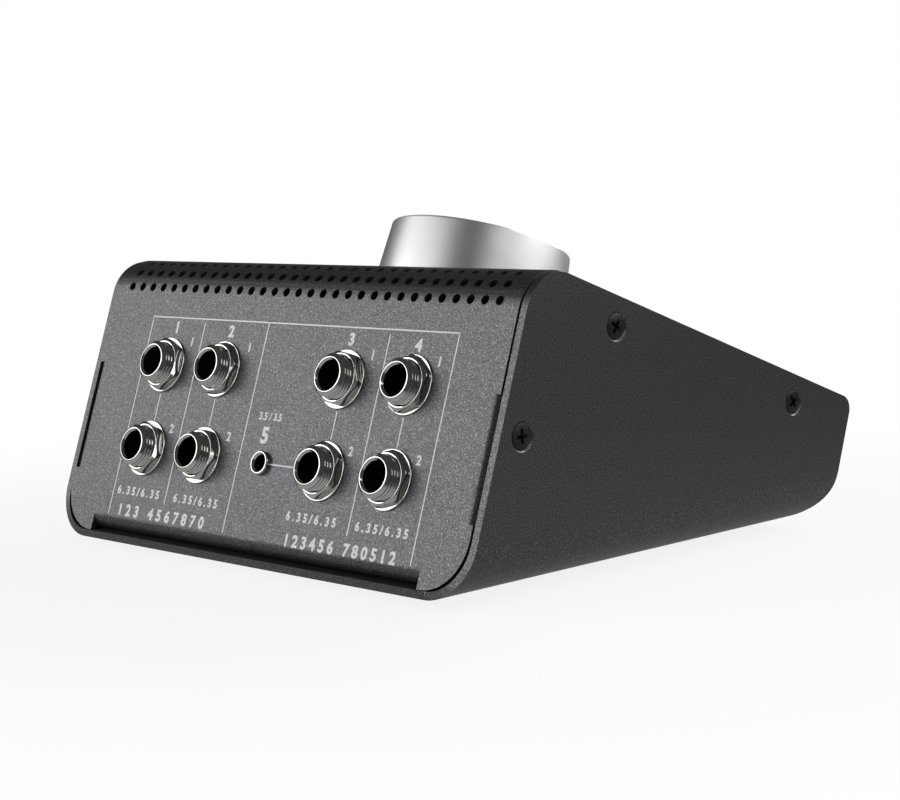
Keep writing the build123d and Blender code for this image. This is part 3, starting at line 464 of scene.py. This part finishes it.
# widths of the broken edges in mm, angles in degrees; bend is the shell's lower rear corner
sheets = {
    "shellEdge": 0.15, "coverEdge": 0.12, "flatAngle": 1.0, "sharpAngle": 30.0,
    "breakAngle": 40.0, "weld": 0.001, "bend": {"radius": 11.0, "tick": 0.3, "near": 0.01},
}


def squareRearCorners(shape, bend):
    # the shell's rear edge is cut square to the sheet along the floor and round its two bends
    slope = leanSin / leanCos
    centreX = case["halfWidth"] - bend["radius"]
    centreZ = case["footHeight"] + bend["radius"]
    for vertex in shape.verts:
        x, y, z = vertex.co * 1000
        fromCut = y - case["rearY"] + (z - case["footHeight"]) * slope
        inBend = abs(x) > centreX - bend["near"] and z < centreZ
        if abs(fromCut) < bend["near"] and inBend:
            r = math.hypot(abs(x) - centreX, centreZ - z)
            inward = max(0.0, bend["radius"] - r - bend["tick"])
            vertex.co.y += inward * (centreZ - z) / r * slope / 1000


def easedSheet(node, name, edge, bend=None):
    # the sheet with its cut edges broken, so that each catches a thin line of light
    shape = bmesh.new()
    shape.from_mesh(frame["nodes"][node].data)
    bmesh.ops.remove_doubles(shape, verts=shape.verts, dist=sheets["weld"] / 1000)
    if bend:
        squareRearCorners(shape, bend)
    bmesh.ops.dissolve_limit(shape, angle_limit=math.radians(sheets["flatAngle"]),
                             verts=shape.verts, edges=shape.edges)
    piece = newPiece(name, toMesh(shape, name, sheets["sharpAngle"]), finishes["case_coat"])
    modified(piece, "BEVEL", {
        "width": edge / 1000, "segments": 2, "limit_method": "ANGLE",
        "angle_limit": math.radians(sheets["breakAngle"])})
    # the wide faces stay flat to the eye right up to their broken edges
    modified(piece, "WEIGHTED_NORMAL", {"mode": "FACE_AREA", "weight": 100, "keep_sharp": True})
    finished(piece, "case", "case_coat", node)


easedSheet("bottom_shell", "shellSheet", sheets["shellEdge"], sheets["bend"])
easedSheet("top_cover", "coverSheet", sheets["coverEdge"])
print("case sheets eased")


# mm from the middle of the rear panel's lower edge; turns and angles in degrees
sockets = {
    "columns": (40.1, 20.2, -20.2, -40.1), "rows": (42.2, 22.4), "segments": 64,
    "bore": 3.25, "mouth": 3.65, "mouthDepth": 0.5, "rim": 3.95, "reach": 5.0, "lead": 0.6,
    "flange": 5.6, "flangeThickness": 1.5, "spigot": 4.4, "spigotLength": 2.8,
    # steps out and up that break the front edges of the mouth, the rim and the lead
    "mouthEdge": ((-0.04, -0.08), (0.02, 0.0)), "rimEdge": ((-0.05, 0.0), (0.02, -0.05)),
    "leadEdge": ((-0.05, 0.05), (0.0, 0.0)),
    # the thread starts to fall at crest and is deepest at root, both in parts of its pitch
    "thread": 4.7, "pitch": 0.8, "groove": 0.40, "crest": 0.2, "root": 0.6, "runOut": 0.3,
    "threadSteps": 10, "threadSharp": 40.0, "threadTurn": 9.0,
    "hole": 4.85, "washer": 6.5, "washerThickness": 0.4, "washerFillets": (0.08, 0.18),
    "flats": 11.1, "nutThickness": 1.6, "nutEase": 0.12, "cornerCut": 0.25, "frontCut": 1.1,
    "coneHeight": 0.5, "sideSegments": 20, "nutSharp": 20.0, "nutBevel": 0.06, "bevelAngle": 22.0,
    "nutTurns": (8.0, 41.0, 22.0, 52.0, 15.0, 30.0, 3.0, 47.0),
}


def threadInto(shape, size, low, high):
    # rows of points climb with the angle, so the last column meets the first one turn higher
    steps, fall = size["threadSteps"], size["root"] - size["crest"]
    rows = round((high - low) / size["pitch"] * steps)
    columns = []
    for j in range(size["segments"] + 1):
        share = j / size["segments"]
        points = []
        for k in range(-steps, rows + 1):
            z = min(max(low + (k / steps + share) * size["pitch"], low), high)
            depth = max(0.0, 1 - abs((k / steps) % 1 - size["root"]) / fall)
            fade = max(0.0, min(1.0, (z - low) / size["runOut"], (high - z) / size["runOut"]))
            points.append((size["thread"] - size["groove"] * depth * fade, z))
        columns.append(pointColumn(shape, points, 2 * math.pi * share))
    skin(shape, columns, closed=False, around=False)


def bushingMesh(size):
    low, high = case["coverBack"], size["reach"] - size["lead"]
    back = low - size["flangeThickness"]
    end = back - size["spigotLength"]
    outline = [(size["thread"], low), (size["flange"], low), (size["flange"], back),
               (size["spigot"], back), (size["spigot"], end), (size["bore"], end),
               (size["bore"], size["reach"] - size["mouthDepth"])]
    for edge, r, z in (("mouthEdge", size["mouth"], size["reach"]),
                       ("rimEdge", size["rim"], size["reach"]),
                       ("leadEdge", size["thread"], high)):
        outline += [(r + out, z + up) for out, up in size[edge]]
    shape = spun(outline, size["segments"], closed=False)
    threadInto(shape, size, low, high)
    return toMesh(shape, "bushing", size["threadSharp"])


def washerMesh(size):
    hole, edge, thickness = size["hole"], size["washer"], size["washerThickness"]
    backFillet, frontFillet = size["washerFillets"]
    outline = rounded([(hole, 0, 0), (edge, 0, backFillet), (edge, thickness, frontFillet),
                       (hole, thickness, 0)])
    return toMesh(spun(outline, size["segments"]), "washer")


def nutMesh(size):
    # a hexagon whose corners are cut by a cone at the front
    flats, hole = size["flats"], size["hole"]
    thickness, ease = size["nutThickness"], size["nutEase"]
    corner = flats / 2 / math.cos(math.pi / 6)
    widest, front = corner - size["cornerCut"], corner - size["frontCut"]
    slope = size["coneHeight"] / (widest - front)
    shape = bmesh.new()
    columns = []
    count = 6 * size["sideSegments"]
    for j in range(count):
        angle = 2 * math.pi * j / count
        offset = (angle + math.pi / 6) % (math.pi / 3) - math.pi / 6
        r = min(flats / 2 / math.cos(offset), widest)
        rise = thickness - (r - front) * slope
        points = [(hole, 0.0), (r - ease, 0.0), (r, ease), (r, rise), (front, thickness),
                  (hole + ease, thickness), (hole, thickness - ease)]
        columns.append(pointColumn(shape, points, angle))
    skin(shape, columns)
    return toMesh(shape, "nut", size["nutSharp"])


jackPlaces = [(x, v) for v in sockets["rows"] for x in sockets["columns"]]


def onSockets(name, master, out, turns, *nodes):
    # a copy of the master at each socket, so far out of the panel
    places = [onPanel(x, v, out, turn) for (x, v), turn in zip(jackPlaces, turns)]
    piece = repeated(name, master, places, finishes["bright_nickel"])
    finished(piece, "case", "bright_nickel", *nodes)


onSockets("jackBushings", newPiece("bushing", bushingMesh(sockets)), 0,
          [sockets["threadTurn"] * i for i in range(len(jackPlaces))],
          *[f"jack_bushing_{i + 1}" for i in range(len(jackPlaces))])

onSockets("jackWashers", newPiece("washer", washerMesh(sockets)), case["coverRise"],
          [0.0] * len(jackPlaces), "jack_washers")

nut = newPiece("nut", nutMesh(sockets))
modified(nut, "BEVEL", {
    "width": sockets["nutBevel"] / 1000, "segments": 2, "limit_method": "ANGLE",
    "angle_limit": math.radians(sockets["bevelAngle"])})
onSockets("jackNuts", nut, case["coverRise"] + sockets["washerThickness"], sockets["nutTurns"],
          "jack_nuts")

mini = {
    "across": -0.65, "height": 22.4, "barrel": 2.65, "bore": 1.8, "mouth": 0.4,
    "mouthDepth": 0.5, "tip": 0.2, "lead": 0.25, "reach": 1.4, "rim": 3.1, "rimThickness": 1.0,
    "spigot": 1.5, "ease": 0.05, "segments": 64,
}


def miniMesh(size):
    seat, ease = case["coverBack"], size["ease"]
    back = seat - size["rimThickness"]
    end = back - size["spigot"]
    outline = rounded([
        (size["bore"], end, 0), (size["barrel"], end, 0), (size["barrel"], back, 0),
        (size["rim"], back, 0), (size["rim"], seat, 0), (size["barrel"], seat, 0),
        (size["barrel"], size["reach"] - size["lead"], ease),
        (size["barrel"] - size["tip"], size["reach"], ease),
        (size["bore"] + size["mouth"], size["reach"], ease),
        (size["bore"], size["reach"] - size["mouthDepth"], 0)])
    return toMesh(spun(outline, size["segments"]), "miniBarrel")


miniBarrel = newPiece("miniBarrel", miniMesh(mini), finishes["bright_nickel"])
miniBarrel.data.transform(onPanel(mini["across"], mini["height"]))
finished(miniBarrel, "case", "bright_nickel", "mini_jack_barrel")
print("sockets made")


screws = {
    "head": 2.78, "shank": 1.5, "length": 6.0, "sunk": 0.12, "segments": 48, "sharpAngle": 35.0,
    # tip cuts the end's edge, neckDrop lengthens the cone, dome is the head's middle, and
    # rimEdge holds steps out and up from the head's radius
    "tip": 0.3, "neckDrop": 0.25, "dome": 0.03,
    "rimEdge": ((-0.03, -0.3), (0.0, -0.22), (-0.05, -0.08), (-0.2, 0.0)),
    # the cross recess, and the shares of its length and width that are left at its bottom
    "cross": 3.5, "wing": 0.8, "crossDepth": 1.3, "crossTop": 0.3, "crossTaper": (0.35, 0.7),
    "side": ((6.2, 35.0), (27.4, 63.0), (93.8, 63.0)),
    "sideTurns": (12.0, 38.0, 64.0, 21.0, 75.0, 50.0),
    "floorX": 34.0, "floorY": (58.003, -45.069), "floorTurns": (5.0, 33.0, 58.0, 80.0),
}


def crossCutter(size):
    # two tapering wings that cross, as a cross-head driver leaves
    shape = bmesh.new()
    half, flat = size["cross"] / 2, size["wing"] / 2
    shorter, thinner = size["crossTaper"]
    corners = [(-half, -flat), (half, -flat), (half, flat), (-half, flat)]
    top = [Vector((x, y, size["crossTop"])) / 1000 for x, y in corners]
    bottom = [Vector((x * shorter, y * thinner, -size["crossDepth"])) / 1000 for x, y in corners]
    for turn in (0, 90):
        place = Matrix.Rotation(math.radians(turn), 4, "Z")
        upper = [shape.verts.new(place @ point) for point in top]
        lower = [shape.verts.new(place @ point) for point in bottom]
        shape.faces.new(upper)
        shape.faces.new(lower[::-1])
        for k in range(4):
            n = (k + 1) % 4
            shape.faces.new((upper[n], upper[k], lower[k], lower[n]))
    bmesh.ops.recalc_face_normals(shape, faces=shape.faces)
    mesh = bpy.data.meshes.new("cross")
    shape.to_mesh(mesh)
    shape.free()
    return mesh


def cutBy(piece, cutterMesh, sharpAngle, **settings):
    cutter = newPiece("cutter", cutterMesh)
    modified(piece, "BOOLEAN", {
        "operation": "DIFFERENCE", "object": cutter, "solver": "EXACT", **settings})
    discard(cutter)
    piece.data.set_sharp_from_angle(angle=math.radians(sharpAngle))


def screwPiece(size):
    head, shank, end = size["head"], size["shank"], -size["length"]
    outline = [(0.0, end), (shank - size["tip"], end), (shank, end + size["tip"]),
               (shank, shank - head - size["neckDrop"])]
    outline += [(head + out, up) for out, up in size["rimEdge"]] + [(0.0, size["dome"])]
    screw = newPiece("screw", toMesh(spun(outline, size["segments"]), "screw"))
    cutBy(screw, crossCutter(size), size["sharpAngle"], use_self=True)
    return screw


sideSpots = [(sign, *spot) for sign in (1, -1) for spot in screws["side"]]
floorSpots = [(x, y) for x in (-screws["floorX"], screws["floorX"]) for y in screws["floorY"]]
screwPlaces = [onSide(*spot, turn) for spot, turn in zip(sideSpots, screws["sideTurns"])]
screwPlaces += [onFloor(*spot, turn) for spot, turn in zip(floorSpots, screws["floorTurns"])]
sunk = Matrix.Translation((0, 0, -screws["sunk"] / 1000))
caseScrews = repeated("caseScrews", screwPiece(screws), [place @ sunk for place in screwPlaces],
                      finishes["black_screw"])
finished(caseScrews, "case", "black_screw", "case_screws")
print("screws made")


# radii and heights in mm; marker is the pointer slot's width, length and depth
knob = {
    "base": 23.1, "top": 21.6, "gap": 0.8, "height": 17.8, "wall": 2.2, "edge": 0.62,
    "ease": 0.3, "boss": 9.0, "bossBase": 6.6, "bossFillet": 0.5, "innerFillet": 0.8,
    "crown": 3.5, "hub": 5.65, "onAxis": 0.0001, "segments": 160, "filletSteps": 4,
    "sharpAngle": 30.0, "marker": (1.6, 10.9, 0.6), "markerCentre": 14.19,
}


def knobPiece(size):
    top, ease = size["gap"] + size["height"], size["ease"]
    under = top - size["crown"]
    outline = rounded([
        (size["onAxis"], top, 0), (size["top"], top, size["edge"]),
        (size["base"], size["gap"], ease), (size["base"] - size["wall"], size["gap"], ease),
        (size["top"] - size["wall"], under, size["innerFillet"]),
        (size["boss"], under, size["bossFillet"]), (size["boss"], size["bossBase"], ease),
        (size["hub"], size["bossBase"], 0), (size["hub"], under, 0),
        (size["onAxis"], under, 0)], size["filletSteps"])
    mesh = toMesh(spun(outline, size["segments"]), "knob", size["sharpAngle"])
    piece = newPiece("knob", mesh, finishes["knob_aluminium"])
    width, length, depth = size["marker"]
    shape = bmesh.new()
    bmesh.ops.create_cube(shape, size=1.0)
    shape.transform(Matrix.Translation((0, size["markerCentre"] / 1000, top / 1000))
                    @ Matrix.Diagonal((width / 1000, length / 1000, 2 * depth / 1000, 1)))
    slot = bpy.data.meshes.new("slot")
    shape.to_mesh(slot)
    shape.free()
    cutBy(piece, slot, size["sharpAngle"])
    piece.data.transform(onTop(0, case["knobDepth"], case["coverRise"]))
    return piece


finished(knobPiece(knob), "knob", "knob_aluminium", "knob_body")
print("knob made")


printing = {
    "line": 0.30, "ink": 0.03, "shift": (-0.37, -0.07), "frameTop": 53.6,
    # the built-in face's figures are this share of its size
    "figureShare": 0.729, "curveSteps": 4,
    # across, top and bottom heights of the upright lines
    "uprights": ((49.2, 53.6, 6.25), (29.7, 52.7, 10.4), (7.6, 53.5, 6.25),
                 (-31.15, 52.45, 10.0), (-50.8, 53.6, 6.1)),
    # top and bottom of the lines between sockets; ends and height of the small socket's line
    "links": (35.4, 29.2), "miniLink": (-3.0, -13.3, 22.45),
    # words, across, height, height of the figures, width of the row where it is spread, weight
    "marks": (
        ("1", 39.50, 51.16, 3.0, 0, 0.17), ("2", 19.82, 51.00, 3.0, 0, 0.17),
        ("3", -19.88, 50.86, 3.0, 0, 0.17), ("4", -40.06, 50.47, 3.0, 0, 0.17),
        ("1", 32.97, 47.97, 2.2, 0, 0.09), ("1", 12.39, 47.62, 2.2, 0, 0.09),
        ("1", -27.28, 47.74, 2.2, 0, 0.09), ("1", -46.96, 47.46, 2.2, 0, 0.09),
        ("2", 33.16, 27.55, 2.2, 0, 0.09), ("2", 12.66, 27.28, 2.2, 0, 0.09),
        ("2", -26.99, 27.20, 2.2, 0, 0.09), ("2", -47.02, 27.03, 2.2, 0, 0.09),
        ("6.35/6.35", 39.95, 12.1, 2.1, 15.5, 0.10), ("6.35/6.35", 19.1, 12.1, 2.1, 15.5, 0.10),
        ("6.35/6.35", -19.4, 12.1, 2.1, 15.5, 0.10), ("6.35/6.35", -40.7, 12.1, 2.1, 15.4, 0.10),
        ("123 4567870", 29.95, 7.5, 2.9, 30.9, 0.14),
        ("123456 780512", -29.7, 6.9, 2.9, 33.4, 0.14),
        ("3.5 / 3.5", 0.25, 32.7, 1.8, 7.4, 0.07), ("5", 0.8, 28.4, 4.0, 0, 0.20)),
}


def onPrint(across, height):
    shiftAcross, shiftUp = printing["shift"]
    return onPanel(across + shiftAcross, height + shiftUp, case["coverRise"])


def inkBar(shape, place, width, length):
    bar = bmesh.ops.create_cube(shape, size=1.0)["verts"]
    size = Matrix.Diagonal((width / 1000, length / 1000, printing["ink"] / 1000, 1))
    bmesh.ops.transform(shape, verts=bar, matrix=place @ size)


def inkMesh(words, cap, weight, spacing):
    curve = bpy.data.curves.new("figures", "FONT")
    curve.body = words
    curve.size = (cap - 2 * weight) / printing["figureShare"] / 1000
    curve.align_x, curve.align_y = "CENTER", "CENTER"
    curve.space_character = spacing
    curve.offset = weight / 1000
    curve.extrude = printing["ink"] / 2000
    curve.resolution_u = printing["curveSteps"]
    text = newPiece("figures", curve)
    bpy.context.view_layer.update()
    mesh = evaluated(text)
    discard(text)
    return mesh


def rowEnds(mesh):
    across = [vertex.co.x for vertex in mesh.vertices]
    return min(across), max(across)


def rowWidth(words, cap, weight, spacing):
    left, right = rowEnds(inkMesh(words, cap, weight, spacing))
    return 1000 * (right - left)


def inkText(words, place, cap, width, weight):
    # figures set as wide apart as the row needs, middle at the place
    spacing = 1.0
    if width:
        tight, loose = (rowWidth(words, cap, weight, apart) for apart in (1.0, 2.0))
        spacing = 1.0 + (width - tight) / (loose - tight)
    mesh = inkMesh(words, cap, weight, spacing)
    mesh.transform(place @ Matrix.Translation((-sum(rowEnds(mesh)) / 2, 0, 0)))
    return mesh


def printed(name, shape, meshes):
    for mesh in meshes:
        shape.from_mesh(mesh)
        bpy.data.meshes.remove(mesh)
    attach(newPiece(name, toMesh(shape, name), printInk), "case")


line = printing["line"]
lines = bmesh.new()
for across, top, bottom in printing["uprights"]:
    inkBar(lines, onPrint(across, (top + bottom) / 2), line, top - bottom)
start, end = printing["uprights"][0][0], printing["uprights"][-1][0]
inkBar(lines, onPrint((start + end) / 2, printing["frameTop"]), start - end + line, line)
top, bottom = printing["links"]
for across in sockets["columns"]:
    inkBar(lines, onPrint(across, (top + bottom) / 2), line, top - bottom)
start, end, row = printing["miniLink"]
inkBar(lines, onPrint((start + end) / 2, row), start - end, line)
printed("panelPrint", lines, [
    inkText(words, onPrint(across, height), cap, width, weight)
    for words, across, height, cap, width, weight in printing["marks"]])
print("panel printed")


dial = {
    "count": 11, "sweep": 300.0, "radius": 26.6, "tickLength": 2.2, "tickWidth": 0.35,
    "figures": 30.4, "figureHeight": 2.2, "figureWeight": 0.04,
}


def dialTree():
    # bars in an arc, from half the sweep on one side to half on the other
    tree, given = newTree("dialTicks", {
        "Count": "Int", "Radius": "Float", "Sweep": "Float", "Tick": "Vector",
        "Finish": "Material"}, "Ticks")
    row = addNode(tree, "GeometryNodeMeshLine", {"mode": "OFFSET"}, {
        "Count": given["Count"], "Offset": (0, 0, 0)})
    index = addNode(tree, "GeometryNodeInputIndex").outputs["Index"]
    share = addMath(tree, "DIVIDE", index, addMath(tree, "SUBTRACT", given["Count"], 1.0))
    angle = addMath(tree, "MULTIPLY", addMath(tree, "SUBTRACT", 0.5, share), given["Sweep"])
    turn = addNode(tree, "ShaderNodeCombineXYZ", None, {"Z": angle})
    arm = addNode(tree, "ShaderNodeCombineXYZ", None, {"Y": given["Radius"]})
    spot = addNode(tree, "ShaderNodeVectorRotate", {"rotation_type": "Z_AXIS"}, {
        "Vector": arm.outputs["Vector"], "Angle": angle})
    spread = addNode(tree, "GeometryNodeSetPosition", None, {
        "Geometry": row.outputs["Mesh"], "Position": spot.outputs["Vector"]})
    bar = addNode(tree, "GeometryNodeMeshCube", None, {"Size": given["Tick"]})
    return placeAndColour(tree, spread.outputs["Geometry"], bar.outputs["Mesh"],
                          turn.outputs["Vector"], given["Finish"], "Ticks")


ticks = fromTree("ticks", bpy.data.meshes.new("ticksBase"), dialTree(), {
    "Count": dial["count"], "Radius": dial["radius"] / 1000,
    "Sweep": math.radians(dial["sweep"]), "Finish": printInk,
    "Tick": [size / 1000 for size in (dial["tickWidth"], dial["tickLength"], printing["ink"])]})
ticks.data.transform(onTop(0, case["knobDepth"], case["coverRise"]))
dialMarks = bmesh.new()
dialMarks.from_mesh(ticks.data)
discard(ticks)
figures = []
for number in range(dial["count"]):
    angle = math.radians(dial["sweep"]) * (0.5 - number / (dial["count"] - 1))
    across, back = -dial["figures"] * math.sin(angle), dial["figures"] * math.cos(angle)
    place = onTop(across, case["knobDepth"] - back, case["coverRise"])
    figures.append(inkText(str(number), place, dial["figureHeight"], 0, dial["figureWeight"]))
printed("topPrint", dialMarks, figures)
print("dial printed")


# metres and watts
studio = {
    "floor": 3.0, "paper": [(0.3, "#F2F2F2"), (0.7, "#F8F8F8")], "fibreScale": 900.0,
    "paperRough": 0.9, "ambientLevel": 0.06, "aimHeight": 0.035,
    # the floor's own shadow is seen only within shadowEdge of the middle, and its mirror image
    # in the object dims from near to far
    "shadowEdge": (0.12, 0.24), "shadowWhite": 0.86,
    "mirroredEdge": (0.10, 0.38), "mirroredLevel": (0.38, 0.06),
    # azimuth and elevation in degrees, distance, width and height, power
    "lamps": {"rearSoftbox": (57.0, 20.0, 1.1, (1.75, 0.62), 8.9),
              "sideBack": (168.0, 34.0, 1.1, (0.50, 0.45), 1.3),
              "sideBank": (217.0, 30.0, 1.1, (1.00, 0.80), 5.0),
              "frontBank": (264.0, 32.0, 1.2, (0.80, 0.70), 9.5)},
}
white = (1, 1, 1, 1)


def fadeOut(tree, away, edge, levels):
    fade = addNode(tree, "ShaderNodeMapRange", {"interpolation_type": "SMOOTHSTEP"}, {
        "Value": away, "From Min": edge[0], "From Max": edge[1],
        "To Min": levels[0], "To Max": levels[1]})
    return fade.outputs["Result"]


def floorFinish():
    # matt white paper: the camera sees it white, with the object's shadow only near it
    finish, tree, shader, place = newFinish("paperSweep")
    fibre = addNode(tree, "ShaderNodeTexNoise", None, {
        "Vector": place, "Scale": studio["fibreScale"], "Detail": 2.0}).outputs["Fac"]
    tree.links.new(addRamp(tree, fibre, studio["paper"]), shader.inputs["Base Color"])
    shader.inputs["Roughness"].default_value = studio["paperRough"]
    away = addNode(tree, "ShaderNodeVectorMath", {"operation": "LENGTH"}, {0: place})
    away = away.outputs["Value"]
    path = addNode(tree, "ShaderNodeLightPath").outputs
    toCamera = path["Is Camera Ray"]
    bare = fadeOut(tree, away, studio["shadowEdge"], (studio["shadowWhite"], 1.0))
    seen = addMath(tree, "MULTIPLY", toCamera, bare)
    mirrored = addMath(tree, "MAXIMUM", path["Is Glossy Ray"], path["Is Transmission Ray"])
    share = addMath(tree, "MAXIMUM", seen, mirrored)
    inMirror = fadeOut(tree, away, studio["mirroredEdge"], studio["mirroredLevel"])
    level = addNode(tree, "ShaderNodeMapRange", None, {
        "Value": toCamera, "To Min": inMirror, "To Max": 1.0})
    glow = addNode(tree, "ShaderNodeEmission", None, {
        "Color": white, "Strength": level.outputs["Result"]})
    mixed = addNode(tree, "ShaderNodeMixShader", None, {
        "Fac": share, 1: shader.outputs["BSDF"], 2: glow.outputs["Emission"]})
    output = tree.nodes["Material Output"]
    tree.links.new(mixed.outputs["Shader"], output.inputs["Surface"])
    return finish


def makeWorld():
    # white for the camera, a dim studio for everything else
    world = bpy.data.worlds.new("studio")
    world.use_nodes = True
    tree = world.node_tree
    tree.nodes.clear()
    path = addNode(tree, "ShaderNodeLightPath")
    dim, bright = (
        addNode(tree, "ShaderNodeBackground", None, {"Color": white, "Strength": strength})
        for strength in (studio["ambientLevel"], 1.0))
    mixed = addNode(tree, "ShaderNodeMixShader", None, {
        "Fac": path.outputs["Is Camera Ray"],
        1: dim.outputs["Background"], 2: bright.outputs["Background"]})
    addNode(tree, "ShaderNodeOutputWorld", None, {"Surface": mixed.outputs["Shader"]})
    return world


def addLamp(name, azimuth, elevation, distance, size, watts):
    lamp = bpy.data.lights.new(name, "AREA")
    lamp.shape, lamp.size, lamp.size_y = "RECTANGLE", size[0], size[1]
    lamp.energy = watts
    stand = bpy.data.objects.new(name, lamp)
    bpy.context.scene.collection.objects.link(stand)
    a, e = math.radians(azimuth), math.radians(elevation)
    toward = Vector((math.cos(a) * math.cos(e), math.sin(a) * math.cos(e), math.sin(e)))
    stand.location = toward * distance + Vector((0, 0, studio["aimHeight"]))
    stand.rotation_euler = toward.to_track_quat("Z", "Y").to_euler()


floorShape = bmesh.new()
bmesh.ops.create_grid(floorShape, x_segments=1, y_segments=1, size=studio["floor"])
floor = newPiece("floor", bpy.data.meshes.new("floor"))
floorShape.to_mesh(floor.data)
floorShape.free()
floor.data.materials.append(floorFinish())
bpy.context.scene.world = makeWorld()
for name, values in studio["lamps"].items():
    addLamp(name, *values)
bpy.context.scene.view_settings.view_transform = "Standard"
print("studio lit")
